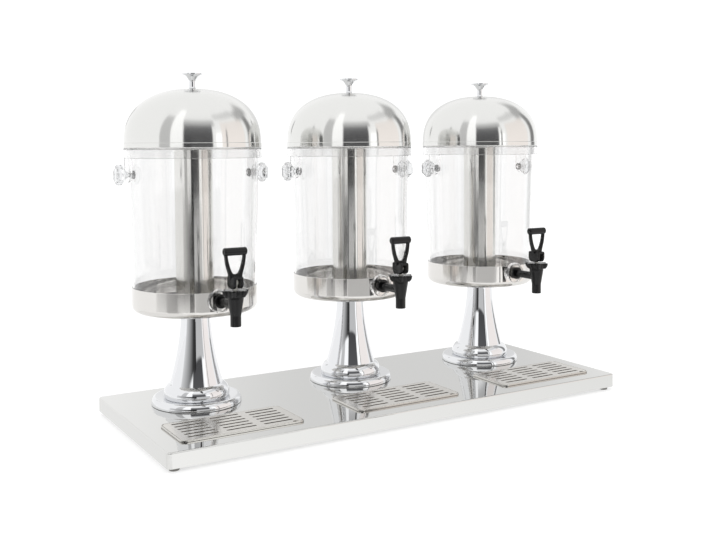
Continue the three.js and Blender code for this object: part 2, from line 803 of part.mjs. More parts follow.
// One tank with its pedestal, lid and tap, about the tank's axis.
function station(side) {
  const group = new THREE.Group();
  const atTap = (shape) => shape.translate([0, -tapReach, shankHeight]);
  const knob = alongX(sideKnob()).translate([0, 0, sideKnobHeight]);
  group.add(
    piece("pedestal_" + side, pedestal(), finishes.chrome),
    piece("clamp_bolt_" + side, clampBolt(), finishes.brushedSteel),
    piece("tank_pan_" + side, tankPan(), finishes.polishedSteel),
    piece("tank_" + side, tank(), finishes.clearPlastic),
    piece("collar_" + side, collar(), finishes.clearPlastic),
    piece("ice_tube_" + side, iceTube(), finishes.polishedSteel),
    piece("lid_" + side, lid(), finishes.chrome),
    piece("lid_knob_" + side, lidKnob(), finishes.chrome),
    piece("side_knob_right_" + side, knob, finishes.clearPlastic),
    piece("side_knob_left_" + side, knob.rotate([0, 0, 180]), finishes.clearPlastic),
    piece("tap_body_" + side, atTap(tapBody()), finishes.blackPlastic),
    piece("tap_washer_" + side, atTap(tapWasher()), finishes.clearPlastic),
    piece("tap_nut_" + side, atTap(tapNut()), finishes.blackPlastic),
    piece("tap_bonnet_" + side, atTap(tapBonnet()), finishes.blackPlastic),
    piece("tap_stem_" + side, atTap(tapStem()), finishes.silicone),
    piece("tap_lever_" + side, atTap(tapLever()), finishes.blackPlastic),
  );
  return group;
}

const dispenser = new THREE.Group();
dispenser.add(piece("base_tray", baseTray(), finishes.brushedSteel));
footPlaces.forEach(([x, y], i) => {
  const rubberFoot = piece("foot_" + footNames[i], foot(), finishes.rubber);
  rubberFoot.position.set(x, y, 0);
  dispenser.add(rubberFoot);
});
stationShares.forEach((share, i) => {
  const x = share * tankSpacing;
  const tower = station(stationNames[i]);
  tower.position.set(x, tankSetback, 0);
  const pan = piece("drip_pan_" + stationNames[i], dripPan(), finishes.polishedSteel);
  const grille = piece("drip_grille_" + stationNames[i], dripGrille(), finishes.brushedSteel);
  pan.position.set(x, panSetback, 0);
  grille.position.set(x, panSetback, 0);
  dispenser.add(tower, pan, grille);
});

export default dispenser;
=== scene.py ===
# %% [markdown]
# # A three-tank drink dispenser in chrome, steel and clear plastic
#
# This lesson dresses a fixed model of a drink dispenser: three clear tanks in a row, each on a chromed
# pedestal and under a domed lid, on one steel base. The fixed model gives every piece its place and its
# size, as plain faceted solids. Here each solid is replaced by a smooth piece with softened edges, or
# keeps its shape, and gets the finish that the real thing has. All sizes below are millimetres.

# %% Load the fixed model
import math

import bmesh
import bpy
from mathutils import Euler, Matrix, Vector


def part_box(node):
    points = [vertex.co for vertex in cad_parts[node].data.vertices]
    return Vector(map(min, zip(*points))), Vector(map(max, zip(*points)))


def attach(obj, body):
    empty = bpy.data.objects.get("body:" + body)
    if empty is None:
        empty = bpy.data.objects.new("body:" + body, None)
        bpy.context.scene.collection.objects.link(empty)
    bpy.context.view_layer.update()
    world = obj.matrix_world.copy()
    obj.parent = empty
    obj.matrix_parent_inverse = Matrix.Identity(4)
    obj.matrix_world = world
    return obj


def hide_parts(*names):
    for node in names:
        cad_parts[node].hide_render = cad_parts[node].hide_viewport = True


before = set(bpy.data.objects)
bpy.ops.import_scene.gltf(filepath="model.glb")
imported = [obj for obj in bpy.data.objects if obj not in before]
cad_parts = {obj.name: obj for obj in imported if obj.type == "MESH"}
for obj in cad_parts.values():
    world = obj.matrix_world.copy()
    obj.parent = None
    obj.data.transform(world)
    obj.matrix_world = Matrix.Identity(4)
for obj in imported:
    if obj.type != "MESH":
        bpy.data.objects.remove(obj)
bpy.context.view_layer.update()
scene = bpy.context.scene

# %% [markdown]
# ## Sizes
#
# Heights are read from the fixed model, so a piece always sits where its solid is. The three tanks are
# alike, so each piece is built once, about the tank's axis, and set down three times.

# %% Places and heights
MM = 0.001
SIDES = ["left", "middle", "right"]
FEET = ["front_left", "front_right", "back_left", "back_right"]


def low(node):
    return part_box(node)[0] / MM


def high(node):
    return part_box(node)[1] / MM


def middle(node):
    return (low(node) + high(node)) / 2


def heights(kind):
    """The lowest and the highest place of a piece of the middle tank."""
    return low(kind + "_middle").z, high(kind + "_middle").z


TANK_AXES = {side: middle("ice_tube_" + side) for side in SIDES}
TANK_Y = TANK_AXES["middle"].y
OUTLET_Y = middle("tap_stem_middle").y - TANK_Y
PAN_CENTRES = {side: middle("drip_pan_" + side) for side in SIDES}
BASE_TOP = high("base_tray").z
print("tank axes at x =", [round(TANK_AXES[side].x, 1) for side in SIDES], "and y =", round(TANK_Y, 1))
print("tap outlet", round(-OUTLET_Y, 1), "mm in front of the tank's axis")

# %% [markdown]
# ## Helpers for shapes
#
# Most pieces of the dispenser were spun, pressed or moulded round an axis, so their shape is one outline
# turned about that axis. The helper rounds the outline's corners first, because no real edge is sharp,
# and a mirror finish shows that at once. The pieces that aren't round are rings of rounded rectangles,
# flat outlines with thickness, or solids cut from each other.

# %% Helper: an outline with rounded corners


def arc_points(centre, radius, start, end, steps):
    """Points on a circle, from one angle to another, in degrees."""
    angles = [math.radians(start + (end - start) * i / steps) for i in range(steps + 1)]
    return [(centre[0] + radius * math.cos(a), centre[1] + radius * math.sin(a)) for a in angles]


def softened(corners, steps=4):
    """An outline from corners (u, v) or (u, v, rounding): an arc takes the place of each rounded corner."""
    outline = []
    count = len(corners)
    for i, corner in enumerate(corners):
        here = Vector(corner[:2])
        rounding = corner[2] if len(corner) > 2 else 0
        if not rounding:
            outline.append(tuple(here))
            continue
        before = (Vector(corners[i - 1][:2]) - here).normalized()
        after = (Vector(corners[(i + 1) % count][:2]) - here).normalized()
        half = math.acos(max(-1, min(1, before.dot(after)))) / 2
        reach = rounding / math.tan(half)
        centre = here + (before + after).normalized() * (rounding / math.sin(half))
        first = here + before * reach - centre
        last = here + after * reach - centre
        turn = first.angle_signed(last)
        for k in range(steps + 1):
            outline.append(tuple(centre + Matrix.Rotation(-turn * k / steps, 2) @ first))
    return outline


print("a softened square has", len(softened([(0, 0, 1), (9, 0, 1), (9, 9, 1), (0, 9, 1)])), "points")

# %% Helper: meshes


def finished(name, work):
    """Turns a bmesh in millimetres into a mesh in metres, with smooth shading except at real creases."""
    bmesh.ops.remove_doubles(work, verts=work.verts, dist=0.0005)
    bmesh.ops.recalc_face_normals(work, faces=work.faces)
    bmesh.ops.scale(work, vec=(MM, MM, MM), verts=work.verts)
    crease = math.radians(32)
    for face in work.faces:
        face.smooth = True
    for edge in work.edges:
        if len(edge.link_faces) == 2 and edge.calc_face_angle(0) > crease:
            edge.smooth = False
    mesh = bpy.data.meshes.new(name)
    work.to_mesh(mesh)
    work.free()
    return mesh


def turned(name, outline, segments=96, closed=False, swell=None):
    """A mesh from (radius, height) points turned about the Z axis. A closed outline makes a ring or a shell.

    Where swell is given, the points are (radius, height, share) and swell(angle) times the share is added.
    """
    work = bmesh.new()
    rings = []
    for radius, height, *share in outline:
        if radius < 1e-6:
            rings.append([work.verts.new((0, 0, height))])
            continue
        ring = []
        for i in range(segments):
            angle = 2 * math.pi * i / segments - math.pi / 2
            reach = radius + (swell(angle) * share[0] if swell else 0)
            ring.append(work.verts.new((reach * math.cos(angle), reach * math.sin(angle), height)))
        rings.append(ring)
    pairs = list(zip(rings, rings[1:]))
    if closed:
        pairs.append((rings[-1], rings[0]))
    for a, b in pairs:
        for i in range(segments):
            j = (i + 1) % segments
            corners = [a[i % len(a)], a[j % len(a)], b[j % len(b)], b[i % len(b)]]
            face = list(dict.fromkeys(corners))
            if len(face) > 2:
                work.faces.new(face)
    return finished(name, work)


print("turning a square makes", len(turned("trial", [(0, 0), (5, 0), (5, 5), (0, 5)]).polygons), "faces")

# %% Helper: rings of rounded rectangles
CORNER_STEPS = 8
SMALLEST_CORNER = 0.6


def rounded_rectangle(length, width, corner):
    """Corner points of a rounded rectangle about the origin, anticlockwise."""
    x = length / 2 - corner
    y = width / 2 - corner
    points = []
    for cx, cy, start in [(x, y, 0), (-x, y, 90), (-x, -y, 180), (x, -y, 270)]:
        points += arc_points((cx, cy), corner, start, start + 90, CORNER_STEPS)
    return points


def framed(name, length, width, corner, outline):
    """A mesh from (inset, height) points led round a rounded rectangle, with flat ends."""
    work = bmesh.new()
    rings = []
    for inset, height in outline:
        kept = max(corner - inset, SMALLEST_CORNER)
        points = rounded_rectangle(length - 2 * inset, width - 2 * inset, kept)
        rings.append([work.verts.new((x, y, height)) for x, y in points])
    work.faces.new(rings[0])
    work.faces.new(rings[-1])
    for a, b in zip(rings, rings[1:]):
        for i in range(len(a)):
            j = (i + 1) % len(a)
            work.faces.new([a[i], a[j], b[j], b[i]])
    return finished(name, work)


print("a rounded rectangle has", len(rounded_rectangle(40, 20, 5)), "points")

# %% Helper: cutting and joining


def applied(name, holder, helpers=()):
    """The mesh that an object's modifiers or bevel make. The object and its helpers are removed."""
    bpy.context.view_layer.update()
    flat = bpy.data.meshes.new_from_object(holder.evaluated_get(bpy.context.evaluated_depsgraph_get()))
    for used in [*helpers, holder]:
        bpy.data.objects.remove(used)
    work = bmesh.new()
    work.from_mesh(flat)
    bmesh.ops.scale(work, vec=(1 / MM, 1 / MM, 1 / MM), verts=work.verts)
    bpy.data.meshes.remove(flat)
    return finished(name, work)


def in_scene(name, data):
    made = bpy.data.objects.new(name, data)
    scene.collection.objects.link(made)
    return made


def combined(name, base, tools):
    """A mesh joined with, or cut by, other meshes: tools is a list of (operation, mesh, matrix)."""
    whole = in_scene(name + "_work", base)
    helpers = []
    for i, (operation, mesh, matrix) in enumerate(tools):
        helper = in_scene(f"{name}_tool_{i}", mesh)
        helper.matrix_world = matrix
        helpers.append(helper)
        step = whole.modifiers.new(f"step_{i}", "BOOLEAN")
        step.operation = operation
        step.solver = "EXACT"
        step.object = helper
    return applied(name, whole, helpers)


def cylinder(name, radius, bottom, top, segments=48):
    """A plain round bar about the Z axis, used to cut holes."""
    return turned(name, [(0, bottom), (radius, bottom), (radius, top), (0, top)], segments)


def at(x=0, y=0, z=0, turn=(0, 0, 0)):
    """The place of a helper solid, in millimetres and degrees."""
    rotation = Euler([math.radians(v) for v in turn]).to_matrix().to_4x4()
    return Matrix.Translation(Vector((x, y, z)) * MM) @ rotation


# Turns that lay the Z axis down.
TO_RIGHT = (0, 90, 0)
TO_LEFT = (0, -90, 0)
TO_FRONT = (90, 0, 0)
TO_BACK = (-90, 0, 0)
print("cutting works on", len(combined("trial", cylinder("bar", 5, 0, 9), [
    ("DIFFERENCE", cylinder("bit", 2, -1, 10), at()),
]).vertices), "vertices")

# %% Helper: plates


def slab(name, outlines, thickness, edge, resolution=3):
    """A plate with rounded edges, from closed outlines that are drawn further in by the width of the edge."""
    curve = bpy.data.curves.new(name, "CURVE")
    curve.dimensions = "2D"
    curve.fill_mode = "BOTH"
    curve.extrude = (thickness / 2 - edge) * MM
    curve.bevel_depth = edge * MM
    curve.bevel_resolution = resolution
    for outline in outlines:
        line = curve.splines.new("POLY")
        line.points.add(len(outline) - 1)
        for point, (x, y) in zip(line.points, outline):
            point.co = (x * MM, y * MM, 0, 1)
        line.use_cyclic_u = True
    return applied(name, in_scene(name, curve))


print("a plate has", len(slab("trial", [rounded_rectangle(40, 20, 5)], 3, 0.5).polygons), "faces")

# %% Helper: setting pieces down


def place(name, mesh, material, body, replaced, spot):
    """A piece of the dispenser: a mesh at a spot, with its material, riding on a body of the fixed model."""
    piece = in_scene(name, mesh)
    piece.location = Vector((spot[0], spot[1], 0)) * MM
    if not mesh.materials:
        mesh.materials.append(material)
    keep_flat = piece.modifiers.new("flat faces stay flat", "WEIGHTED_NORMAL")
    keep_flat.keep_sharp = True
    keep_flat.weight = 90
    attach(piece, body)
    if replaced:
        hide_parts(replaced)
    return piece


TANK_SPOTS = {side: (TANK_AXES[side].x, TANK_Y) for side in SIDES}
OUTLET_SPOTS = {side: (TANK_AXES[side].x, TANK_Y + OUTLET_Y) for side in SIDES}


def on_each(kind, mesh, material, body, spots=TANK_SPOTS, part="shell"):
    """The same piece on each side. A star in the body's name stands for the side."""
    for side, spot in spots.items():
        place(f"{kind}_{side}_{part}", mesh, material, body.replace("*", side), f"{kind}_{side}", spot)
    print(kind, "x", len(spots), "with", len(mesh.polygons), "faces each")


# %% [markdown]
# ## Helpers for finishes
#
# A finish is a small tree of nodes that ends in the Principled shader. One helper adds a node with its
# settings and its links. Colours are written as the sRGB hex values that a colour picker shows, and one
# helper turns them into the linear values that Blender calculates with. Chromium and plastics differ in
# numbers more than in kind, so a third helper builds the tree that they share.

# %% Helper: colours and nodes


def linear(hex_colour):
    """An sRGB hex colour as linear red, green, blue and alpha."""
    channels = [int(hex_colour[i : i + 2], 16) / 255 for i in (1, 3, 5)]
    return [c / 12.92 if c <= 0.04045 else ((c + 0.055) / 1.055) ** 2.4 for c in channels] + [1]


def add(tree, kind, values=None, links=None, **settings):
    """Adds a node with its settings, its socket values and the sockets that feed it."""
    node = tree.nodes.new(kind)
    for name, value in settings.items():
        setattr(node, name, value)
    for name, value in (values or {}).items():
        node.inputs[name].default_value = value
    for name, source in (links or {}).items():
        tree.links.new(source, node.inputs[name])
    return node


def new_material(name):
    """An empty node material with only its output."""
    material = bpy.data.materials.new(name)
    material.use_nodes = True
    material.node_tree.nodes.clear()
    return material, material.node_tree


def end(tree, shader):
    add(tree, "ShaderNodeOutputMaterial", links={"Surface": shader.outputs[0]})


print("mid grey is", round(linear("#808080")[0], 3), "linear")

# %% Helper: a finish with relief and haze


def smear(tree, shader, amount):
    """Makes a finish smear what it mirrors along the Z axis, as lines round that axis do."""
    round_axis = add(tree, "ShaderNodeTangent", direction_type="RADIAL", axis="Z")
    shader.inputs["Anisotropic"].default_value = amount
    shader.inputs["Anisotropic Rotation"].default_value = 0.25
    tree.links.new(round_axis.outputs[0], shader.inputs["Tangent"])


def finish(name, colour, values, relief, haze, roughness, bump, smearing=0):
    """A material whose relief and haze are two noises, each given as its width in millimetres and its detail.

    The relief makes a bump of a strength and a depth in millimetres. The haze varies the roughness.
    """
    material, tree = new_material(name)
    spot = add(tree, "ShaderNodeTexCoord").outputs["Object"]
    height, cloud = [
        add(tree, "ShaderNodeTexNoise", {"Scale": 1 / (width * MM), "Detail": detail}, {"Vector": spot})
        for width, detail in (relief, haze)
    ]
    rough = add(tree, "ShaderNodeMapRange", {"To Min": roughness[0], "To Max": roughness[1]},
                {"Value": cloud.outputs[0]})
    dents = add(tree, "ShaderNodeBump", {"Strength": bump[0], "Distance": bump[1] * MM},
                {"Height": height.outputs[0]})
    shader = add(tree, "ShaderNodeBsdfPrincipled", {"Base Color": linear(colour), **values},
                 {"Roughness": rough.outputs[0], "Normal": dents.outputs[0]})
    if smearing:
        smear(tree, shader, smearing)
    end(tree, shader)
    return material


# %% [markdown]
# ## Bright chromium plate
#
# Lids, lid knobs and pedestals are pressed or spun steel, polished and plated with bright chromium. That
# gives the eye a cool, nearly perfect mirror: what shows is the room, not the metal. Perfect mirrors look
# drawn, so the plate gets two faults of real plating: a very faint long waviness from the spinning, and
# wiping haze that varies the roughness a little. The lids were buffed on the lathe before plating. The
# plate keeps those fine lines, and they smear what it mirrors up and down but not sideways. The shader
# does that with anisotropy about a tangent that runs round the Z axis, turned by a quarter.

# %% Chromium plate
WAVES = (38, 1.0)  # mm from one soft wave of the sheet to the next
HAZE = (24, 4.0)  # mm across a patch of wiping haze


def bright_chromium(name, colour, roughness, smearing=0):
    return finish(name, colour, {"Metallic": 1.0}, WAVES, HAZE, roughness, (0.03, 0.4), smearing)


CHROME = bright_chromium("bright_chromium_plate", "#e0e1e3", (0.015, 0.05))
LID_CHROME = bright_chromium("buffed_chromium_plate", "#dfdfdd", (0.12, 0.15), 0.95)
print("made", CHROME.name, "and", LID_CHROME.name)

# %% [markdown]
# ## Stainless steel, polished and brushed
#
# The tank pans and ice tubes are stainless steel polished while they turn, so fine lines run round them and
# smear the room into upright stripes. The wheel doesn't reach inside the pans, so their inside is smoother
# and has no smear. It also gets a far brighter colour than the steel outside: painted light falling in from
# above.
# The base and the grilles are sheet with a long-line polish: the base still mirrors almost clearly,
# the grilles and the pressed drip pans a little softly. Real lines are some hundredths of a millimetre wide,
# too fine for the picture, so they are drawn about half a millimetre wide and faint. A noise that is
# stretched along the lines feeds both the roughness and a very shallow bump.

# %% Stainless steel


def stainless(name, colour, stretch, line_width, smooth, rough, depth, smearing=0):
    """Steel with polishing lines. Stretch is how much longer they are than wide, along X, Y and Z."""
    material, tree = new_material(name)
    spot = add(tree, "ShaderNodeTexCoord").outputs["Object"]
    along = add(tree, "ShaderNodeMapping", {"Scale": [1 / s for s in stretch]}, {"Vector": spot})
    lines = add(tree, "ShaderNodeTexNoise", {"Scale": 1 / (line_width * MM), "Detail": 3.0},
                {"Vector": along.outputs[0]})
    cloud_width = 70  # mm across a patch that took the polish a little differently
    clouds = add(tree, "ShaderNodeTexNoise", {"Scale": 1 / (cloud_width * MM), "Detail": 2.0},
                 {"Vector": spot})
    blend = add(tree, "ShaderNodeMath", None, {0: lines.outputs[0], 1: clouds.outputs[0]}, operation="ADD")
    # Two noises add up to about 1, and nearly everywhere to between 0.6 and 1.4.
    roughness = add(tree, "ShaderNodeMapRange",
                    {"From Min": 0.6, "From Max": 1.4, "To Min": smooth, "To Max": rough},
                    {"Value": blend.outputs[0]})
    bump = add(tree, "ShaderNodeBump", {"Strength": depth, "Distance": 0.05 * MM},
               {"Height": lines.outputs[0]})
    shader = add(tree, "ShaderNodeBsdfPrincipled", {"Base Color": linear(colour), "Metallic": 1.0},
                 {"Roughness": roughness.outputs[0], "Normal": bump.outputs[0]})
    if smearing:
        smear(tree, shader, smearing)
    end(tree, shader)
    return material


TURNED = (30, 30, 1)
ROLLED = (60, 1, 1)
EVEN = (1, 1, 1)
WHEEL_STEEL = stainless("wheel_polished_stainless", "#dad8d5", TURNED, 0.6, 0.09, 0.14, 0.04, 1.0)
# The inside steel's far brighter colour is painted light falling into the pan from above.
LIT_INSIDE_STEEL = stainless("pan_inside_stainless_painted_light", "#f6f5f3", TURNED, 0.6, 0.02, 0.05, 0.03)
TUBE_STEEL = stainless("turned_tube_stainless", "#ebeae7", TURNED, 0.6, 0.08, 0.12, 0.03, 1.0)
PRESSED_STEEL = stainless("pressed_stainless", "#cfcdc9", EVEN, 0.6, 0.08, 0.14, 0.05)
SHEET_STEEL = stainless("long_line_stainless_sheet", "#d6d6d4", ROLLED, 0.6, 0.02, 0.05, 0.03)
GRILLE_STEEL = stainless("long_line_grille_steel", "#d2cfca", ROLLED, 0.6, 0.14, 0.24, 0.12)
BOLT_STEEL = stainless("turned_bolt_steel", "#b9b9b8", EVEN, 0.8, 0.25, 0.38, 0.2)
print("made seven steels")

# %% [markdown]
# ## Clear polycarbonate
#
# Tanks, collars, washers and side knobs are injection moulded in clear polycarbonate. It has real
# thickness here, so the light bends in and out of each wall, and edges and bosses catch dark and bright
# sparks as they do in the photograph. The index of refraction is that of polycarbonate, 1.58. A faint
# waviness of the moulding and slight roughness keep it from looking like optical glass. The plastic takes
# a little light away: hardly any in the thin pieces, more in the deep tanks and most in the solid knobs.

# %% Clear plastic
FLOW = (45, 1.0)  # mm between the flow waves of the moulding


def clear_polycarbonate(name, colour):
    values = {"IOR": 1.58, "Transmission Weight": 1.0}
    return finish(name, colour, values, FLOW, FLOW, (0.0, 0.03), (0.02, 0.3))


CLEAR = clear_polycarbonate("clear_polycarbonate", "#fbfbfb")
TANK_CLEAR = clear_polycarbonate("tank_polycarbonate", "#f5f5f5")
KNOB_CLEAR = clear_polycarbonate("solid_polycarbonate", "#e8e9ea")
print("made", CLEAR.name, TANK_CLEAR.name, "and", KNOB_CLEAR.name)

# %% [markdown]
# ## Black nylon, rubber and silicone
#
# The taps are moulded in black nylon with a smooth skin that is glossy, not mirror-like: highlights are
# soft and a little uneven where the mould was polished less. Feet are matte grey rubber, the nuts of the
# side knobs pale grey nylon and the taps' seats off-white silicone. Each is a dielectric with an index
# near 1.5. The grain of a mould's skin is finer than the picture shows, so it is drawn about 1 mm wide.

# %% Moulded plastics


def moulded(name, colour, ior, grain, roughness, depth, shine=0.5):
    """A moulded skin with grain of the given width in millimetres, between two roughness values."""
    skin = (grain, 5.0)
    values = {"IOR": ior, "Specular IOR Level": shine}
    return finish(name, colour, values, skin, skin, roughness, (depth, 0.1))


BLACK_NYLON = moulded("glossy_black_nylon", "#0b0b0c", 1.53, 1.2, (0.16, 0.26), 0.12, 0.28)
FOOT_RUBBER = moulded("matte_grey_rubber", "#74736f", 1.52, 0.7, (0.7, 0.9), 0.4)
NUT_NYLON = moulded("grey_nylon", "#f2f2f2", 1.53, 0.8, (0.35, 0.5), 0.2)
SILICONE = moulded("off_white_silicone", "#dcdad3", 1.41, 1.5, (0.4, 0.55), 0.1)
print("made four moulded finishes")

# %% [markdown]
# ## The base
#
# The base is one steel sheet folded down on four sides, with a lip turned in underneath that holds the
# rubber feet. It is built as a strip led round a rounded rectangle: up the outside, over the bend, and
# back along the inside. Then the openings for the drip pans and the bolts are cut, as the press does.

# %% Base tray
BASE_SIZE = high("base_tray") - low("base_tray")
BASE_BOTTOM = low("base_tray").z
SHEET = 1.5
BEND = 2.4
BASE_CORNER = 8
LIP = 30
BOWL_FLANGE = 7
BOWL_CLEARANCE = 0.8
PAN_SIZE = high("drip_pan_middle") - low("drip_pan_middle")
PAN_CORNER = 10
BOLT_HOLE = 4.4
PLUG_HOLE = 4
CUT_REACH = 9  # how far a cut goes above and below the sheet


def base_tray():
    outside = [(LIP, BASE_BOTTOM), (0, BASE_BOTTOM, BEND / 2), (0, BASE_TOP, BEND), (LIP, BASE_TOP)]
    inside = [(LIP, BASE_TOP - SHEET), (SHEET, BASE_TOP - SHEET, BEND / 2), (SHEET, BASE_BOTTOM + SHEET),
              (LIP, BASE_BOTTOM + SHEET)]
    # The first and last points aren't rounded, so the open strip keeps its order: top, outside, lip, inside.
    strip = softened(outside)[::-1] + softened(inside)[::-1]
    tray = framed("base_tray_smooth", BASE_SIZE.x, BASE_SIZE.y, BASE_CORNER, strip)
    inset = BOWL_FLANGE - BOWL_CLEARANCE
    under, over = BASE_TOP - CUT_REACH, BASE_TOP + CUT_REACH
    cuts = []
    for side in SIDES:
        bowl = framed("bowl_cut", PAN_SIZE.x, PAN_SIZE.y, PAN_CORNER, [(inset, under), (inset, over)])
        cuts.append(("DIFFERENCE", bowl, at(PAN_CENTRES[side].x, PAN_CENTRES[side].y)))
        bolt = cylinder("bolt_cut", BOLT_HOLE, under, over)
        cuts.append(("DIFFERENCE", bolt, at(*TANK_SPOTS[side])))
    for foot in FEET:
        spot = middle("foot_" + foot)
        plug = cylinder("plug_cut", PLUG_HOLE, BASE_BOTTOM - CUT_REACH, BASE_BOTTOM + CUT_REACH)
        cuts.append(("DIFFERENCE", plug, at(spot.x, spot.y)))
    return combined("base_tray_smooth", tray, cuts)


base = place("base_tray_shell", base_tray(), SHEET_STEEL, "stand", "base_tray", (0, 0))
print("base", [round(v, 1) for v in BASE_SIZE], "mm,", len(base.data.polygons), "faces")

# %% [markdown]
# ## Feet
#
# Four rubber plugs are pushed into the lip. Only their pads show, and they are turned with a soft edge.

# %% Feet
PAD_TOP = 5.7
PAD_RADIUS = 8.4
SOLE_RADIUS = 7.6
NECK_RADIUS = 3.6
NECK_TOP = 7.8
PLUG_RADIUS = 5
PLUG_TOP = 11.2


def rubber_foot():
    pad = [(0, 0), (SOLE_RADIUS, 0, 0.8), (PAD_RADIUS, PAD_TOP, 0.6), (NECK_RADIUS, PAD_TOP)]
    plug = [(NECK_RADIUS, NECK_TOP), (PLUG_RADIUS, NECK_TOP), (NECK_RADIUS, PLUG_TOP), (0, PLUG_TOP)]
    return turned("rubber_foot", softened(pad + plug), 48)


foot_mesh = rubber_foot()
for foot in FEET:
    spot = middle("foot_" + foot)
    place(f"foot_{foot}_pad", foot_mesh, FOOT_RUBBER, "stand", "foot_" + foot, spot)
print("four feet", PAD_TOP, "mm high")

# %% [markdown]
# ## Drip pans and grilles
#
# A drip pan is pressed from polished sheet. Its rim stands up as a bright bead round the grille and its
# bowl hangs through the base. The grille is a stamped plate: a flat curve with eighteen slots as inner
# splines is the easiest way to get round slot ends, and the curve's bevel gives the stamped edge.

# %% Drip pans
PAN_SHEET = 1
RIM_WIDTH = 2
FLANGE_GAP = 0.3  # between the base and the pan's flange
BOWL_EDGE = 30  # from the rim in to where the flat middle of the bowl starts


def drip_pan():
    floor, top = heights("drip_pan")
    under = BASE_TOP + FLANGE_GAP
    seat = under + PAN_SHEET
    wall = BOWL_FLANGE + PAN_SHEET
    # From the middle of the underside out to the rim and back down to the middle of the bowl.
    corners = [
        (BOWL_EDGE, floor), (BOWL_FLANGE, floor, 2.6), (BOWL_FLANGE, under, 0.2), (0, under, 0.2),
        (0, top, 0.9), (RIM_WIDTH, top, 0.9), (RIM_WIDTH, seat, 0.3), (wall, seat, 0.9),
        (wall, floor + PAN_SHEET, 1.8), (BOWL_EDGE, floor + PAN_SHEET),
    ]
    return framed("drip_pan_smooth", PAN_SIZE.x, PAN_SIZE.y, PAN_CORNER, softened(corners))


on_each("drip_pan", drip_pan(), PRESSED_STEEL, "* drip pan", PAN_CENTRES)

# %% Grilles
SLOT_LENGTH = 51
SLOT_WIDTH = 6
SLOT_WEB = 11.5
SLOT_PITCH = 14.3
SLOT_FRONT_MARGIN = 13.5
SLOT_COLUMNS = 3
SLOT_ROWS = 6
NOTCH_RADIUS = 5
NOTCH_INSET = 13.5
STAMPED_EDGE = 0.3


def slot_outline(x, y):
    half = (SLOT_LENGTH - SLOT_WIDTH) / 2
    right = arc_points((x + half, y), SLOT_WIDTH / 2 - STAMPED_EDGE, -90, 90, 8)
    left = arc_points((x - half, y), SLOT_WIDTH / 2 - STAMPED_EDGE, 90, 270, 8)
    return right + left


def grille_outline(length, width, corner):
    """A rounded rectangle with a half-round finger notch in its front edge."""
    points = rounded_rectangle(length, width, corner)
    notch = arc_points((length / 2 - NOTCH_INSET, -width / 2), NOTCH_RADIUS, 180, 0, 12)
    front = 3 * (CORNER_STEPS + 1)  # the front edge comes after the points of three corners
    return points[:front] + notch + points[front:]


def drip_grille():
    lowest = low("drip_grille_middle")
    size = high("drip_grille_middle") - lowest
    edge = 2 * STAMPED_EDGE
    outlines = [grille_outline(size.x - edge, size.y - edge, PAN_CORNER - RIM_WIDTH - STAMPED_EDGE)]
    for column in range(SLOT_COLUMNS):
        for row in range(SLOT_ROWS):
            x = (column - (SLOT_COLUMNS - 1) / 2) * (SLOT_LENGTH + SLOT_WEB)
            y = SLOT_FRONT_MARGIN - size.y / 2 + row * SLOT_PITCH
            outlines.append(slot_outline(x, y))
    plate = slab("drip_grille_smooth", outlines, size.z, STAMPED_EDGE, 2)
    plate.transform(at(z=lowest.z + size.z / 2))
    return plate


on_each("drip_grille", drip_grille(), GRILLE_STEEL, "* drip grille", PAN_CENTRES, "plate")

# %% [markdown]
# ## Pedestals
#
# Two round beads carry a trumpet column. In chrome the beads show the whole room as squeezed bands and
# the column shows it as long stripes, so the outline has to be really smooth: a formula for the flare,
# and parts of ellipses and circles for the beads.

# %% Pedestals
LOWER_BEAD_RADIUS = 76
LOWER_BEAD_HEIGHT = 12.4
LOWER_BELLY = 1  # from the lower bead's foot up to where it is widest
LOWER_ROUND = 7  # from its widest place in to its crown
GROOVE_HEIGHT = 10.3  # the groove between the two beads
GROOVE_RADIUS = 53
UPPER_BEAD_RADIUS = 55.5
UPPER_BELLY = 6.2
UPPER_ROUND = 19  # radius of the arc from the upper bead's belly to the column
COLUMN_FOOT = 44.5
COLUMN_TOP = 24.5
COLUMN_FLARE = 1.75
PEDESTAL_WALL = 2
PEDESTAL_CAP = 2.5


def column_radius(share):
    """The flare: wide at its foot, share 0, and slim at its top, share 1."""
    return COLUMN_TOP + (COLUMN_FOOT - COLUMN_TOP) * (1 - share) ** COLUMN_FLARE


def quarter(centre, reach, rise, start, end, steps):
    """Points on part of an ellipse, as (radius, height), from one angle to another, in degrees."""
    circle = arc_points((0, 0), 1, start, end, steps)
    return [(centre[0] + x * reach, centre[1] + y * rise) for x, y in circle]


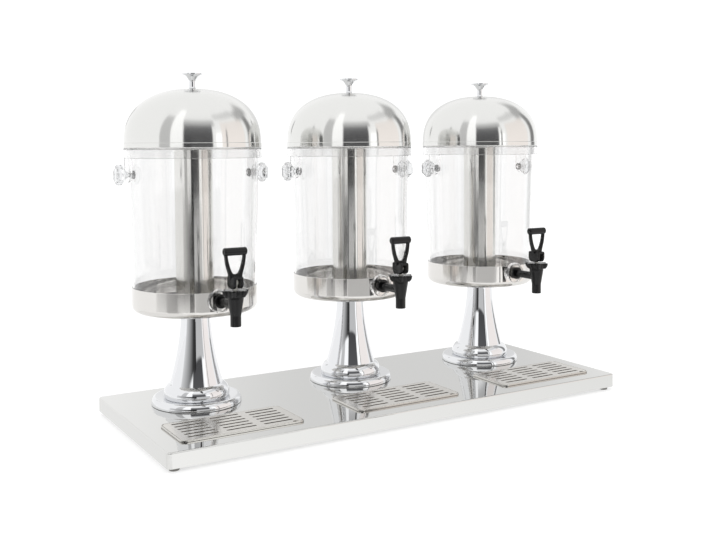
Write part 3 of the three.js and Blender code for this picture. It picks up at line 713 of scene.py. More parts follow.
def pedestal():
    bottom, top = heights("pedestal")
    groove = bottom + GROOVE_HEIGHT
    lower = bottom + LOWER_BELLY
    upper = groove + UPPER_BELLY
    crown = LOWER_BEAD_HEIGHT - LOWER_BELLY
    centre = UPPER_BEAD_RADIUS - UPPER_ROUND
    end_angle = math.acos((COLUMN_FOOT - centre) / UPPER_ROUND)
    foot = upper + UPPER_ROUND * math.sin(end_angle)
    outline = quarter((LOWER_BEAD_RADIUS - LOWER_BELLY, lower), LOWER_BELLY, LOWER_BELLY, -90, 0, 8)
    outline += quarter((LOWER_BEAD_RADIUS - LOWER_ROUND, lower), LOWER_ROUND, crown, 0, 96, 16)[1:]
    outline += quarter((GROOVE_RADIUS, upper), UPPER_BEAD_RADIUS - GROOVE_RADIUS, UPPER_BELLY, -90, 0, 10)
    outline += arc_points((centre, upper), UPPER_ROUND, 0, math.degrees(end_angle), 14)[1:-1]
    steps = 28
    outline += [(column_radius(i / steps), foot + (top - foot) * i / steps) for i in range(steps + 1)]
    cap = top - PEDESTAL_CAP
    outline += [(BOLT_HOLE, top), (BOLT_HOLE, cap), (COLUMN_TOP - PEDESTAL_WALL, cap)]
    outline += [(column_radius(1 - i / 8) - PEDESTAL_WALL, cap - (cap - foot) * i / 8) for i in range(1, 9)]
    outline += [(COLUMN_FOOT - PEDESTAL_WALL, bottom)]
    return turned("pedestal_smooth", outline, 128, closed=True)


on_each("pedestal", pedestal(), CHROME, "stand")

# %% [markdown]
# ## Tank pans and ice tubes
#
# Both are polished stainless steel. The pan is a shallow pressed cup whose lower edge is well rounded.
# The ice tube is a thin welded tube with a pressed-in bottom, and a rolled lip that is safe to touch.

# %% Tank pans
PAN_RADIUS = 105
PAN_WALL = 1.2
PAN_ROUND = 12
SHANK_Z = 218.0
SHANK_HOLE = 7.4
WALL_CUT_START = 60  # cuts through the walls, measured from the tank's axis
WALL_CUT_END = 130
UPWARD = 0.7  # a face counts as turned up when its normal rises by more than this


def shank_hole():
    """The cut for the tap's shank, through every wall in front of the tank's axis."""
    cut = cylinder("shank_cut", SHANK_HOLE, WALL_CUT_START, WALL_CUT_END)
    return "DIFFERENCE", cut, at(z=SHANK_Z, turn=TO_FRONT)


def tank_pan():
    bottom, top = heights("tank_pan")
    inner = PAN_RADIUS - PAN_WALL
    floor = bottom + PAN_WALL
    outline = [
        (BOLT_HOLE, bottom), (PAN_RADIUS, bottom, PAN_ROUND), (PAN_RADIUS, top, 0.5),
        (inner, top, 0.5), (inner, floor, PAN_ROUND - PAN_WALL), (BOLT_HOLE, floor),
    ]
    shell = turned("tank_pan_smooth", softened(outline, 10), 128, closed=True)
    return combined("tank_pan_smooth", shell, [shank_hole()])


pan = tank_pan()
pan.materials.append(WHEEL_STEEL)
pan.materials.append(LIT_INSIDE_STEEL)
# Faces that look inward or up take the brighter inside steel: painted light falling into the pan from above.
for face in pan.polygons:
    outward = face.normal.x * face.center.x + face.normal.y * face.center.y
    if outward < 0 or face.normal.z > UPWARD:
        face.material_index = 1
on_each("tank_pan", pan, WHEEL_STEEL, "stand")

# %% Ice tubes
TUBE_RADIUS = 32
TUBE_WALL = 1


def ice_tube():
    bottom, top = heights("ice_tube")
    inner = TUBE_RADIUS - TUBE_WALL
    outline = [(0, bottom), (TUBE_RADIUS, bottom, 2.5), (TUBE_RADIUS, top, 0.5), (inner, top, 0.45),
               (inner, bottom + TUBE_WALL, 1.5), (0, bottom + TUBE_WALL)]
    return turned("ice_tube_smooth", softened(outline), 96)


on_each("ice_tube", ice_tube(), TUBE_STEEL, "* ice tube")

# %% [markdown]
# ## Tanks and collars
#
# The tank is one clear moulding, a little wider at the top so that it leaves its mould. The collar is a
# second ring that sits on the tank's rim: the lid rests on its ledge, and two tabs hang down outside the
# tank, where the side knobs' screws go through both. Clear pieces have to be single closed skins with
# real thickness, so ring and tabs are joined, not just pushed together: a hidden wall would show.

# %% Tanks
TANK_FOOT = 102.6
TANK_RIM = 109.2
TANK_WALL = 3
TANK_FLOOR = 6.5  # from the foot up to the floor inside
RECESS_HEIGHT = 3.2  # of the recess under the foot that takes the clamping bolt's head
RECESS_RADIUS = 9.4
SCREW_HOLE = 3.4
SCREW_Z = middle("side_knob_right_middle").z


def screw_holes():
    """The cut for both side knobs' screws, through every wall at the left and the right."""
    cut = cylinder("screw_cut", SCREW_HOLE, -WALL_CUT_END, WALL_CUT_END)
    return "DIFFERENCE", cut, at(z=SCREW_Z, turn=TO_RIGHT)


def tank():
    bottom, top = heights("tank")
    floor = bottom + TANK_FLOOR
    recess = bottom + RECESS_HEIGHT
    outline = [
        (0, recess), (RECESS_RADIUS, recess, 0.5), (RECESS_RADIUS, bottom, 0.4),
        (TANK_FOOT, bottom, 13), (TANK_RIM, top, 0.9),
        (TANK_RIM - TANK_WALL, top, 0.9), (TANK_FOOT - TANK_WALL, floor, 10), (0, floor),
    ]
    shell = turned("tank_smooth", softened(outline, 8), 128)
    return combined("tank_smooth", shell, [shank_hole(), screw_holes()])


on_each("tank", tank(), TANK_CLEAR, "stand")

# %% Collars
COLLAR_RADIUS = 114.4
COLLAR_HEIGHT = 16.7
COLLAR_WALL = 3.2
LEDGE = 2
LEDGE_WIDTH = 9
TAB_WIDTH = 32
TAB_WALL = 3


def tab(side):
    """A curved tab below the collar, with a half-round tip, at the left (-1) or right (1) of the tank."""
    sunk = 0.02  # the tab's faces lie this far inside those of the ring, so that the two join cleanly
    tip, rim = heights("collar")
    top = rim - COLLAR_HEIGHT + COLLAR_WALL / 2
    inner = COLLAR_RADIUS - COLLAR_WALL + sunk
    outer = inner + TAB_WALL - 2 * sunk
    half = TAB_WIDTH / 2
    columns, rows = 16, 8
    work = bmesh.new()
    grid = []
    for i in range(columns + 1):
        across = -math.cos(math.pi * i / columns) * half
        lowest = tip + half - math.sqrt(max(half**2 - across**2, 0))
        x, y = math.cos(across / inner), math.sin(across / inner)
        levels = [lowest + (top - lowest) * j / rows for j in range(rows + 1)]
        grid.append([[work.verts.new((side * r * x, r * y, z)) for r in (inner, outer)] for z in levels])
    for i in range(columns):
        for j in range(rows):
            a, b, c, d = grid[i][j], grid[i + 1][j], grid[i + 1][j + 1], grid[i][j + 1]
            work.faces.new([a[0], b[0], c[0], d[0]])
            work.faces.new([a[1], b[1], c[1], d[1]])
    edges = [(i, j, i + 1, j) for i in range(columns) for j in (0, rows)]
    edges += [(i, j, i, j + 1) for j in range(rows) for i in (0, columns)]
    for i, j, next_i, next_j in edges:
        a, b = grid[i][j], grid[next_i][next_j]
        work.faces.new([a[0], b[0], b[1], a[1]])
    return finished("tab", work)


def collar():
    top = high("collar_middle").z
    bottom = top - COLLAR_HEIGHT
    inner = COLLAR_RADIUS - COLLAR_WALL
    ledge = COLLAR_RADIUS - LEDGE_WIDTH
    outline = [(inner, bottom, 0.8), (COLLAR_RADIUS, bottom, 0.8), (COLLAR_RADIUS, top, 1), (ledge, top, 0.8),
               (ledge, top - LEDGE, 0.8), (inner, top - LEDGE, 0.8)]
    ring = turned("collar_smooth", softened(outline), 128, closed=True)
    return combined("collar_smooth", ring, [("UNION", tab(-1), at()), ("UNION", tab(1), at()), screw_holes()])


on_each("collar", collar(), CLEAR, "stand")

# %% [markdown]
# ## Side knobs
#
# A clear knob with six lobes, moulded in one with its screw. The head is turned like the round pieces, but
# its radius swells six times a turn. The lobes fade out towards the boss. Inside the tank, just below its
# rim, a small grey nut holds each screw. The fixed model has no such nut, but it shows through the plastic.

# %% Side knobs
KNOB_LOBES = 6
LOBE_DEPTH = 2.2
KNOB_SCREW = 3
KNOB_BOSS = 7
KNOB_HEAD = 17
HEAD_HEIGHT = 13
HANDS = {"right": TO_RIGHT, "left": TO_LEFT}


def lobes(angle):
    """How far the head draws back between its lobes."""
    return (math.cos(KNOB_LOBES * angle) - 1) * LOBE_DEPTH / 2


def side_knob():
    """A knob about the Z axis, with the tank's axis at height zero."""
    end_z = high("side_knob_right_middle").x - TANK_AXES["middle"].x
    start_z = low("side_knob_right_middle").x - TANK_AXES["middle"].x
    boss = COLLAR_RADIUS - COLLAR_WALL + TAB_WALL + 0.3
    head = end_z - HEAD_HEIGHT
    # Each ring: radius, height and the share of the lobes' depth that it has.
    screw = [(0, start_z, 0), (KNOB_SCREW - 0.7, start_z, 0), (KNOB_SCREW, start_z + 0.8, 0),
             (KNOB_SCREW, boss, 0)]
    neck = [(KNOB_BOSS - 0.6, boss, 0), (KNOB_BOSS, boss + 0.6, 0), (KNOB_BOSS, head - 0.6, 0)]
    under = [(KNOB_BOSS + 0.6, head, 0), (KNOB_HEAD - 5, head + 0.2, 0.3), (KNOB_HEAD - 2, head + 0.9, 0.8)]
    grip = [(KNOB_HEAD - 0.6, head + 2.4, 1), (KNOB_HEAD, head + 4.6, 1), (KNOB_HEAD, end_z - 4.2, 1),
            (KNOB_HEAD - 0.7, end_z - 2.2, 1), (KNOB_HEAD - 2.4, end_z - 0.8, 0.9)]
    face = [(KNOB_HEAD - 5, end_z - 0.15, 0.5), (KNOB_HEAD - 8, end_z, 0.2), (5, end_z - 0.9, 0),
            (0, end_z - 1.1, 0)]
    return turned("side_knob_smooth", screw + neck + under + grip + face, 72, swell=lobes)


def laid_down(mesh, name, turn, z):
    """A copy of a mesh turned by some degrees about an axis and raised in millimetres."""
    copy = mesh.copy()
    copy.name = name
    copy.transform(at(z=z, turn=turn))
    return copy


knob = side_knob()
for hand, turn in HANDS.items():
    lying = laid_down(knob, hand + "_side_knob", turn, SCREW_Z)
    on_each("side_knob_" + hand, lying, KNOB_CLEAR, f"* tank's {hand} knob")

# %% Nuts of the side knobs
SCREW_NUT_RADIUS = 7
SCREW_NUT_INNER = 100.4  # from the tank's axis to the nut's inner face
SCREW_NUT_OUTER = 104.4
SCREW_NUT_BORE = 3.2

nut = turned("screw_nut_smooth", softened([
    (SCREW_NUT_BORE, SCREW_NUT_INNER), (SCREW_NUT_RADIUS, SCREW_NUT_INNER, 1),
    (SCREW_NUT_RADIUS, SCREW_NUT_OUTER, 0.4), (SCREW_NUT_BORE, SCREW_NUT_OUTER),
]), 48, closed=True)
for hand, turn in HANDS.items():
    lying = laid_down(nut, hand + "_screw_nut", turn, SCREW_Z)
    for side in SIDES:
        place(f"screw_nut_{hand}_{side}", lying, NUT_NYLON, "stand", None, TANK_SPOTS[side])
print("six nuts", 2 * SCREW_NUT_RADIUS, "mm across hold the side knobs")

# %% [markdown]
# ## Lids and their knobs
#
# The lid is spun from one disc. Its outline is a superellipse, fuller at the shoulder than an ellipse,
# down to a small bead where it rests on the collar. The knob is turned and chromed, like a small trumpet.

# %% Lids
LID_RADIUS = 113.8
LID_WALL = 1.2
LID_BEAD = 0.8
LID_BEAD_HEIGHT = 8
LID_ROUNDNESS = 2.35
LID_HOLE = 3.4


def dome(radius, bottom, height, steps):
    power = 2 / LID_ROUNDNESS
    points = []
    for i in range(steps):
        angle = math.pi / 2 * i / steps
        points.append((radius * math.cos(angle) ** power, bottom + height * math.sin(angle) ** power))
    # The superellipse ends at the axis. The points near the hole for the knob's stud give way to its edge.
    return [p for p in points if p[0] > LID_HOLE * 2] + [(LID_HOLE, bottom + height)]


def lid():
    bottom, top = heights("lid")
    waist = bottom + LID_BEAD_HEIGHT
    bead = LID_RADIUS + LID_BEAD
    inner = LID_RADIUS - LID_WALL
    rim = softened([(inner, bottom, 0.4), (bead, bottom, 1), (bead, waist, 1),
                    (LID_RADIUS - 0.1, waist + 0.2)])
    shoulder = waist + 0.3
    outside = dome(LID_RADIUS, shoulder, top - shoulder, 64)
    inside = dome(inner, waist, top - LID_WALL - waist, 48)
    return turned("lid_smooth", rim + outside + inside[::-1], 160, closed=True)


on_each("lid", lid(), LID_CHROME, "* lid")

# %% Lid knobs
STUD_RADIUS = 3
LID_KNOB_FOOT = 6.2
LID_KNOB_NECK = 5
LID_KNOB_RADIUS = 17


def lid_knob():
    stud, top = heights("lid_knob")
    seat = high("lid_middle").z + 0.3
    foot = [(0, stud), (STUD_RADIUS, stud), (STUD_RADIUS, seat), (LID_KNOB_FOOT, seat, 0.5),
            (LID_KNOB_NECK + 0.1, seat + 3, 1.5)]
    flare = [(LID_KNOB_NECK, seat + 13, 8), (10.6, top - 6, 5), (LID_KNOB_RADIUS, top - 3.4, 1),
             (LID_KNOB_RADIUS, top - 1.4, 0.9), (12, top - 0.5, 2), (0, top)]
    return turned("lid_knob_smooth", softened(foot + flare, 6), 96)


on_each("lid_knob", lid_knob(), CHROME, "* lid")

# %% [markdown]
# ## Taps
#
# Each tap is a black moulding with its barrel upright in front of the pan. The shank runs back through
# pan and tank, with a flange and a clear washer outside and a nut inside. The bonnet is a cap with ears
# for the fingers. The lever pulls up a stem with the seal: its foot rolls on the bonnet as it tips.

# %% Tap bodies
FLANGE_REACH = 117.3
FLANGE_THICKNESS = 3.5
FLANGE_RADIUS = 11.5
SHANK_RADIUS = 7
SHANK_BORE = 4.5
SPOUT_RADIUS = 8.5
SPOUT_TOP = SHANK_Z - 14
BARREL_RADIUS = 12.8
BARREL_FOOT = SHANK_Z + 12
OUTLET_BORE = 5.6
CHAMBER = 9.6
CHAMBER_FLOOR = SHANK_Z - 6
PAST = 5  # how far a cut goes past the moulding


def tap_body():
    bottom, top = heights("tap_body")
    back = high("tap_body_middle").y - TANK_Y - OUTLET_Y
    near = -OUTLET_Y - FLANGE_REACH
    far = near + FLANGE_THICKNESS
    barrel = turned("tap_barrel", softened([
        (0, bottom), (SPOUT_RADIUS, bottom, 0.7), (SPOUT_RADIUS, SPOUT_TOP, 6),
        (BARREL_RADIUS, BARREL_FOOT, 6), (BARREL_RADIUS, top, 0.4), (0, top),
    ]), 64)
    shank = turned("tap_shank", softened([
        (0, 0), (SHANK_RADIUS, 0), (SHANK_RADIUS, back, 0.8), (0, back),
    ]), 48)
    flange = turned("tap_flange", softened([
        (0, near), (FLANGE_RADIUS, near, 1.2), (FLANGE_RADIUS, far, 0.3), (0, far),
    ]), 64)
    backwards = at(z=SHANK_Z, turn=TO_BACK)
    return combined("tap_body_smooth", barrel, [
        ("UNION", shank, backwards),
        ("UNION", flange, backwards),
        ("DIFFERENCE", cylinder("chamber_cut", CHAMBER, CHAMBER_FLOOR, top + PAST), at()),
        ("DIFFERENCE", cylinder("outlet_cut", OUTLET_BORE, bottom - PAST, CHAMBER_FLOOR + 1), at()),
        ("DIFFERENCE", cylinder("shank_cut", SHANK_BORE, 0, back + PAST), backwards),
    ])


on_each("tap_body", tap_body(), BLACK_NYLON, "stand", OUTLET_SPOTS)

# %% Tap washers
WASHER_RADIUS = 19


def tap_washer():
    """A thick disc whose back is cut to the curve of the tank pan."""
    near = low("tap_washer_middle").y - TANK_Y - OUTLET_Y
    far = high("tap_washer_middle").y - TANK_Y - OUTLET_Y
    disc = turned("washer", softened([
        (SHANK_HOLE, near, 0.5), (WASHER_RADIUS, near, 2.2), (WASHER_RADIUS, far), (SHANK_HOLE, far),
    ]), 64, closed=True)
    disc.transform(at(z=SHANK_Z, turn=TO_BACK))
    face = cylinder("pan_face", PAN_RADIUS + 0.3, SHANK_Z - 30, SHANK_Z + 30, 160)
    return combined("tap_washer_smooth", disc, [("DIFFERENCE", face, at(y=-OUTLET_Y))])


on_each("tap_washer", tap_washer(), CLEAR, "stand", OUTLET_SPOTS)

# %% Tap bonnets
BONNET_CORE = 16.4
BONNET_BORE = 13.2
BONNET_HOLE = 4.5
BONNET_ROOF = 2.8
EAR_REACH = 22
EARS = 6


def ears(angle):
    """How far the ears reach out from the core."""
    return (EAR_REACH - BONNET_CORE) * max(math.cos(EARS * angle), 0) ** 0.6


def tap_bonnet():
    """A cap whose rings swell into ears that narrow downwards."""
    bottom, top = heights("tap_bonnet")
    half_way = bottom + 0.45 * (top - bottom)
    # Each ring: core radius, height, and the share of the ears' reach that it has.
    side = [(BONNET_BORE, bottom, 0), (BONNET_BORE + 1.4, bottom, 0), (BONNET_CORE - 1.2, bottom + 0.5, 0.45),
            (BONNET_CORE, half_way, 0.8), (BONNET_CORE, top - 1.2, 1), (BONNET_CORE - 0.2, top - 0.5, 1),
            (BONNET_CORE - 0.9, top, 0.9)]
    ceiling = top - BONNET_ROOF
    roof = [(12, top, 0), (BONNET_HOLE, top, 0), (BONNET_HOLE, ceiling, 0), (BONNET_BORE, ceiling, 0)]
    return turned("tap_bonnet_smooth", side + roof, 144, closed=True, swell=ears)


on_each("tap_bonnet", tap_bonnet(), BLACK_NYLON, "stand", OUTLET_SPOTS)

# %% Tap stems
EYE_RADIUS = 5
EYE_HALF = 3  # half the eye's thickness
PIN_HOLE = 2.5
PIVOT_Z = high("tap_stem_middle").z - EYE_RADIUS
STEM_RADIUS = 3.2
SEAL_RADIUS = 8
SEAL_RIM = 2.2
SEAL_TOP = 4.5


def tap_stem():
    """A round seal that tapers up into the stem, with an eye for the lever's pin."""
    bottom = low("tap_stem_middle").z
    end_z = PIVOT_Z - EYE_HALF
    shaft = turned("stem_shaft", softened([
        (0, bottom), (SEAL_RADIUS, bottom, 0.6), (SEAL_RADIUS, bottom + SEAL_RIM, 0.5),
        (STEM_RADIUS, bottom + SEAL_TOP, 0.5), (STEM_RADIUS, end_z), (0, end_z),
    ]), 48)
    eye = turned("stem_eye", softened([
        (0, -EYE_HALF), (EYE_RADIUS, -EYE_HALF, 0.6), (EYE_RADIUS, EYE_HALF, 0.6), (0, EYE_HALF),
    ]), 48)
    pivot = at(z=PIVOT_Z, turn=TO_RIGHT)
    pin_hole = cylinder("pin_cut", PIN_HOLE, -3 * EYE_HALF, 3 * EYE_HALF)
    return combined("tap_stem_smooth", shaft, [("UNION", eye, pivot), ("DIFFERENCE", pin_hole, pivot)])


on_each("tap_stem", tap_stem(), SILICONE, "* tap stem", OUTLET_SPOTS)

# %% [markdown]
# ## Tap levers
#
# The lever has a foot with two cheeks and a pin between them, a U of two arms that widens upwards, and a
# round handle bar across the top. Foot and U are flat outlines with thickness and a softened edge, so they
# are plates like the grille. Pin and bar are turned. The four are joined into one moulding.

# %% Lever outlines


def smooth_line(points, steps=6):
    """Points on a soft curve through the given ones, as a Catmull-Rom spline draws it."""
    ends = [2 * Vector(points[0]) - Vector(points[1])] + [Vector(p) for p in points]
    ends.append(2 * Vector(points[-1]) - Vector(points[-2]))
    line = []
    for a, b, c, d in zip(ends, ends[1:], ends[2:], ends[3:]):
        for k in range(steps):
            t = k / steps
            bend = 2 * a - 5 * b + 4 * c - d
            twist = 3 * b - a - 3 * c + d
            line.append(0.5 * (2 * b + (c - a) * t + bend * t**2 + twist * t**3))
    return [tuple(p) for p in line] + [tuple(points[-1])]


print("a smooth line through 3 points has", len(smooth_line([(0, 0), (1, 1), (2, 0)])), "points")

# %% Tap levers
LEVER_TOP = high("tap_lever_middle").z
HANDLE_RADIUS = 6.2
HANDLE_Z = LEVER_TOP - HANDLE_RADIUS
HANDLE_HALF = 19
FOOT_WIDTH = 16
FOOT_HALF = 13.5  # half the foot's depth, front to back
FOOT_TOP = PIVOT_Z + 9.6
FOOT_EDGE = 0.8
LOOP_THICKNESS = 7
LOOP_EDGE = 1.6
CHEEK_GAP = 7.6  # room between the cheeks for the stem's eye
GAP_TOP = PIVOT_Z + 5.8
PIN_RADIUS = 2.2
PIN_HALF = 7.9


def lever_foot():
    sole = low("tap_lever_middle").z + FOOT_EDGE
    top = FOOT_TOP - FOOT_EDGE
    half = FOOT_HALF - FOOT_EDGE
    outline = softened([(sole, -half, 7.5), (sole, half, 7.5), (top, half, 2.5), (top, -half, 2.5)], 8)
    # The outline is drawn as (height, depth), so it is stood up with its thickness along X.
    block = slab("lever_foot", [[(v, u) for u, v in outline]], FOOT_WIDTH, FOOT_EDGE)
    block.transform(at(turn=(90, 0, 90)))
    return block


def lever_loop():
    """The U of two arms. Its lines are half its width at some heights, from the foot up to the bar."""
    foot = FOOT_TOP - 2
    floor = FOOT_TOP + 2.6 - LOOP_EDGE
    outer = [(10.6, foot), (12.2, foot + 8), (15.6, foot + 20), (17.2, foot + 31), (17.4, HANDLE_Z)]
    inner = [(4.4, floor + 2.6), (8.2, floor + 10), (11.2, floor + 20), (12.8, floor + 29), (13, HANDLE_Z)]
    outside = smooth_line([(x - LOOP_EDGE, z) for x, z in outer])
    inside = smooth_line([(0, floor)] + [(x + LOOP_EDGE, z) for x, z in inner])
    right = outside + inside[::-1]
    left = [(-x, z) for x, z in right[::-1]]
    loop = slab("lever_loop", [right + left[1:]], LOOP_THICKNESS, LOOP_EDGE)
    loop.transform(at(turn=TO_FRONT))
    return loop


def tap_lever():
    bar = turned("lever_bar", softened([
        (0, -HANDLE_HALF), (HANDLE_RADIUS, -HANDLE_HALF, 2.2),
        (HANDLE_RADIUS, HANDLE_HALF, 2.2), (0, HANDLE_HALF),
    ], 6), 48)
    slot_cut = framed("slot_cut", CHEEK_GAP, 60, SMALLEST_CORNER, [(0, PIVOT_Z - 30), (0, GAP_TOP)])
    pin = cylinder("lever_pin", PIN_RADIUS, -PIN_HALF, PIN_HALF, 32)
    return combined("tap_lever_smooth", lever_foot(), [
        ("DIFFERENCE", slot_cut, at()),
        ("UNION", pin, at(z=PIVOT_Z, turn=TO_RIGHT)),
        ("UNION", lever_loop(), at()),
        ("UNION", bar, at(z=HANDLE_Z, turn=TO_RIGHT)),
    ])


on_each("tap_lever", tap_lever(), BLACK_NYLON, "* tap lever", OUTLET_SPOTS)

# %% [markdown]
# ## Pieces that keep their solid
#
# The taps' nuts and the clamping bolts are small, flat-sided and mostly hidden, so their solids stay. They
# only get a finish.

# %% Nuts and bolts
for side in SIDES:
    for node, material in [("tap_nut_" + side, BLACK_NYLON), ("clamp_bolt_" + side, BOLT_STEEL)]:
        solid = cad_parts[node]
        solid.data.materials.clear()
        solid.data.materials.append(material)
print("six solids keep their shape")

# %% [markdown]
# ## Floor and camera
#
# The photograph is a product picture on a light table: a white floor that glows a little itself, so that
# shadows stay faint, and runs into a white background.

# %% Floor


def pale_floor():
    material, tree = new_material("pale_studio_floor")
    spot = add(tree, "ShaderNodeTexCoord")
    patch_width = 1000 / 3  # mm across a patch of the table's sheet that is a little duller
    paper = add(tree, "ShaderNodeTexNoise", {"Scale": 1 / (patch_width * MM), "Detail": 2.0},
                {"Vector": spot.outputs["Object"]})
    roughness = add(tree, "ShaderNodeMapRange", {"To Min": 0.7, "To Max": 0.8}, {"Value": paper.outputs[0]})
    shader = add(tree, "ShaderNodeBsdfPrincipled",
                 {"Base Color": linear("#c4c4c4"), "Emission Color": linear("#ffffff"),
                  "Emission Strength": 0.5},
                 {"Roughness": roughness.outputs[0]})
    end(tree, shader)
    return material


FLOOR_HALF = 30.0  # metres from the middle to the edge of the floor
work = bmesh.new()
corners = [(-1, -1), (1, -1), (1, 1), (-1, 1)]
work.faces.new([work.verts.new((x * FLOOR_HALF, y * FLOOR_HALF, 0)) for x, y in corners])
floor_mesh = bpy.data.meshes.new("floor")
work.to_mesh(floor_mesh)
work.free()
floor_mesh.materials.append(pale_floor())
floor = in_scene("floor", floor_mesh)
print("floor", FLOOR_HALF * 2, "m wide")

# %% Camera
CAMERA_PLACE = Vector((-879.5, -1446.7, 466.6)) * MM
CAMERA_YAW = 30.81  # degrees to the right of straight back
CAMERA_PITCH = 2.95  # degrees down
CAMERA_ROLL = 0.31
FOCAL_PIXELS = 943.1
PICTURE_WIDTH = 716
PICTURE_HEIGHT = 540
AXIS_ROW = 192.9  # the picture row that the lens looks at

camera_data = bpy.data.cameras.new("camera")
camera_data.sensor_width = 36
camera_data.lens = FOCAL_PIXELS / PICTURE_WIDTH * camera_data.sensor_width
camera_data.shift_y = -(PICTURE_HEIGHT / 2 - AXIS_ROW) / PICTURE_WIDTH
camera = in_scene("camera", camera_data)
camera.location = CAMERA_PLACE
camera.rotation_euler = Euler([math.radians(v) for v in (90 - CAMERA_PITCH, CAMERA_ROLL, -CAMERA_YAW)])
scene.camera = camera
print("lens", round(camera_data.lens, 1), "mm, shift", round(camera_data.shift_y, 3))

# %% [markdown]
# ## The room that the mirrors show
#
# Chrome has no colour of its own, so the room has to be right. The world is plain white. Curved screens
# round the dispenser carry the rest of the room: the dark studio behind the camera with its lighter
# ceiling, a white panel and a grey flat on the left, a bright card and a warm panel on the right, a lamp
# stand, and a paler backdrop behind. Low boards in front and on the left, most of them dark, give the
# chromed rings their dark lines. Two strips of the floor glow near the dispenser. Edges fade, as things out
# of focus do. Only reflections and clear pieces see the screens, so the floor and the background stay white.

# %% Helper: curved screens
STUDIO_HEIGHT = 0.5  # metres from the floor to the level that elevations are measured from
FLOOR_LEVEL = 0.003


def up(elevation, distance=3.0):
    """A line of a screen's profile, as distance and height in metres, from its elevation in degrees."""
    return distance, STUDIO_HEIGHT + distance * math.tan(math.radians(elevation))


def on_floor(distance):
    return distance, FLOOR_LEVEL


def screen_mesh(name, grid):
    """A mesh from rows of points in metres, with UVs that run from 0 to 1 across and up."""
    work = bmesh.new()
    layer = work.loops.layers.uv.new("screen")
    rows = [[work.verts.new(point) for point in row] for row in grid]
    across = len(rows) - 1
    high_up = len(rows[0]) - 1
    for i in range(across):
        for j in range(high_up):
            face = work.faces.new([rows[i][j], rows[i + 1][j], rows[i + 1][j + 1], rows[i][j + 1]])
            for loop, (u, v) in zip(face.loops, [(i, j), (i + 1, j), (i + 1, j + 1), (i, j + 1)]):
                loop[layer].uv = (u / across, v / high_up)
    mesh = bpy.data.meshes.new(name)
    work.to_mesh(mesh)
    work.free()
    return mesh


def bent(name, azimuths, profile):
    """A strip bent round the dispenser. Azimuth 0 is straight in front and grows to the right, in degrees."""
    left, right = azimuths
    columns = max(2, round(abs(right - left) / 3))
    angles = [math.radians(left + (right - left) * i / columns) for i in range(columns + 1)]
    return screen_mesh(name, [[(math.sin(a) * d, -math.cos(a) * d, h) for d, h in profile] for a in angles])


def screen(name, colour, strengths, mesh, fades, along=1):
    """A screen whose strength goes from its lower to its upper edge, or from left to right where along is 0.

    The fades are the shares of its width or height over which its left, right, lower and upper edges
    turn clear.
    """
    material, tree = new_material(name)
    spot = add(tree, "ShaderNodeTexCoord")
    axes = add(tree, "ShaderNodeSeparateXYZ", None, {"Vector": spot.outputs["UV"]})
    mask = None
    for (axis, start), fade in zip([(0, 0), (0, 1), (1, 0), (1, 1)], fades):
        inner = abs(start - max(fade, 0.001))
        edge = add(tree, "ShaderNodeMapRange", {"From Min": start, "From Max": inner},
                   {"Value": axes.outputs[axis]}, interpolation_type="SMOOTHSTEP")
        if mask:
            edge = add(tree, "ShaderNodeMath", None, {0: mask.outputs[0], 1: edge.outputs[0]},
                       operation="MULTIPLY")
        mask = edge
    glow = add(tree, "ShaderNodeEmission", {"Color": linear(colour), "Strength": strengths[0]})
    if strengths[0] != strengths[1]:
        change = add(tree, "ShaderNodeMapRange", {"To Min": strengths[0], "To Max": strengths[1]},
                     {"Value": axes.outputs[along]})
        tree.links.new(change.outputs[0], glow.inputs["Strength"])
    clear = add(tree, "ShaderNodeBsdfTransparent")
    mixed = add(tree, "ShaderNodeMixShader", None,
                {0: mask.outputs[0], 1: clear.outputs[0], 2: glow.outputs[0]})
    end(tree, mixed)
    mesh.materials.append(material)
    made = in_scene(name, mesh)
    made.visible_camera = False
    made.visible_shadow = False
    made.visible_diffuse = False
    return made


print("a screen at 30 degrees up ends", round(up(30)[1], 2), "m above the floor")

# %% World and screens
WHITE = "#ffffff"
WORLD_STRENGTH = 1.12

world = bpy.data.worlds.new("white_studio")
world.use_nodes = True
world.node_tree.nodes.clear()
sky = add(world.node_tree, "ShaderNodeBackground", {"Color": linear(WHITE), "Strength": WORLD_STRENGTH})
add(world.node_tree, "ShaderNodeOutputWorld", links={"Surface": sky.outputs[0]})
scene.world = world

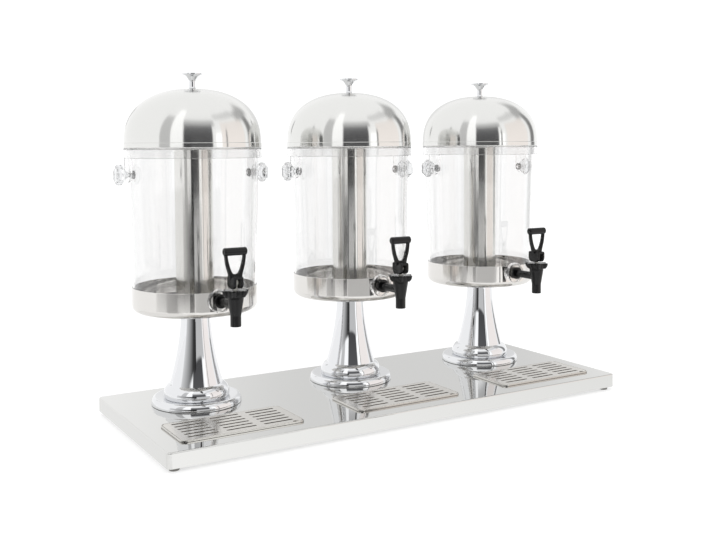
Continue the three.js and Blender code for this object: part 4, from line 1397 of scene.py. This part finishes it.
# Each row: name, colour, strengths, azimuths, profile and fades.
ROOM = [
    ("dark_room", "#fbfbff", (0.04, 0.2), (-43, 7), [(3, 0), up(28)], (0.05, 0.05, 0.0, 0.05)),
    ("room_ceiling", WHITE, (0.45, 0.85), (-45, 15), [up(26.5), up(43)], (0.05, 0.1, 0.06, 0.35)),
    ("white_panel", WHITE, (1.25, 1.5), (-63, -43), [(3, 0), up(68)], (0.12, 0.06, 0.0, 0.1)),
    ("white_floor", WHITE, (1.25, 1.25), (-64, -50), [on_floor(0.6), on_floor(3)], (0.12, 0.06, 0.1, 0.0)),
    ("grey_flat", WHITE, (0.62, 0.7), (-80, -61), [on_floor(0.6), on_floor(3), up(50)],
     (0.12, 0.1, 0.1, 0.1)),
    ("dark_stand", WHITE, (0.03, 0.03), (-45, -37), [on_floor(1.15), (1.15, 0.33)], (0.1, 0.1, 0.0, 0.05)),
    ("dark_board", WHITE, (0.05, 0.05), (-53, -44), [(1.16, 0.055), (1.16, 0.33)], (0.02, 0.1, 0.1, 0.1)),
    ("front_board", WHITE, (0.6, 0.66), (-38, 13), [on_floor(0.6), on_floor(1.12), (1.12, 0.3)],
     (0.05, 0.05, 0.1, 0.04)),
    ("bright_card", WHITE, (1.3, 1.6), (9, 21), [on_floor(0.6), on_floor(2.2), up(13, 2.2)],
     (0.08, 0.08, 0.1, 0.05)),
    ("lamp_stand", WHITE, (0.35, 0.35), (20, 24), [(1, 0), up(20, 1)], (0.25, 0.25, 0.0, 0.1)),
    ("warm_panel", "#fff8f4", (1.25, 1.05), (22, 75), [on_floor(0.6), on_floor(3), up(35)],
     (0.04, 0.04, 0.1, 0.05)),
    ("dark_edge", WHITE, (0.25, 0.3), (80, 102), [(3, 0), up(37)], (0.35, 0.35, 0.0, 0.2)),
    ("grey_cloud", WHITE, (0.5, 0.6), (58, 127), [up(26), up(52)], (0.3, 0.3, 0.3, 0.4)),
    ("ceiling_band", WHITE, (0.82, 0.82), (12, 78), [up(37), up(57)], (0.15, 0.15, 0.3, 0.4)),
    ("backdrop", WHITE, (0.78, 0.95), (118, 176), [(3, 0), up(32)], (0.3, 0.4, 0.0, 0.5)),
    ("back_left_stand", WHITE, (0.35, 0.35), (-169, -164), [up(4, 1.52), up(17, 1.52)], (0.3, 0.3, 0.1, 0.2)),
]
for name, colour, strengths, azimuths, profile, fades in ROOM:
    made = screen(name, colour, strengths, bent(name, azimuths, profile), fades)
    made.visible_transmission = name != "backdrop"
left_board = bent("left_board", (-95, -52), [(1.15, 0.055), (1.15, 0.33)])
screen("left_board", WHITE, (0.85, 0.05), left_board, (0.1, 0.02, 0.1, 0.1), along=0)
# Both glowing strips of the floor fade away from the dispenser.
front_glow = screen_mesh("front_glow", [[(x, y, FLOOR_LEVEL) for x in (-0.7, 0.8)] for y in (-0.6, -0.17)])
screen("front_glow", WHITE, (1.32, 1.05), front_glow, (0.4, 0.0, 0.2, 0.2))
left_glow = screen_mesh("left_glow", [[(x, y, FLOOR_LEVEL) for y in (-0.3, 0.5)] for x in (-0.85, -0.43)])
screen("left_glow", WHITE, (1.05, 1.05), left_glow, (0.4, 0.0, 0.2, 0.2))
# Light crosses many clear walls on its way through a tank, so it gets more bounces than usual.
scene.cycles.max_bounces = 32
scene.cycles.transmission_bounces = 32
scene.cycles.glossy_bounces = 16
scene.cycles.transparent_max_bounces = 24
scene.view_settings.view_transform = "Standard"
print("white world of strength", WORLD_STRENGTH, "and", len(ROOM) + 3, "screens")
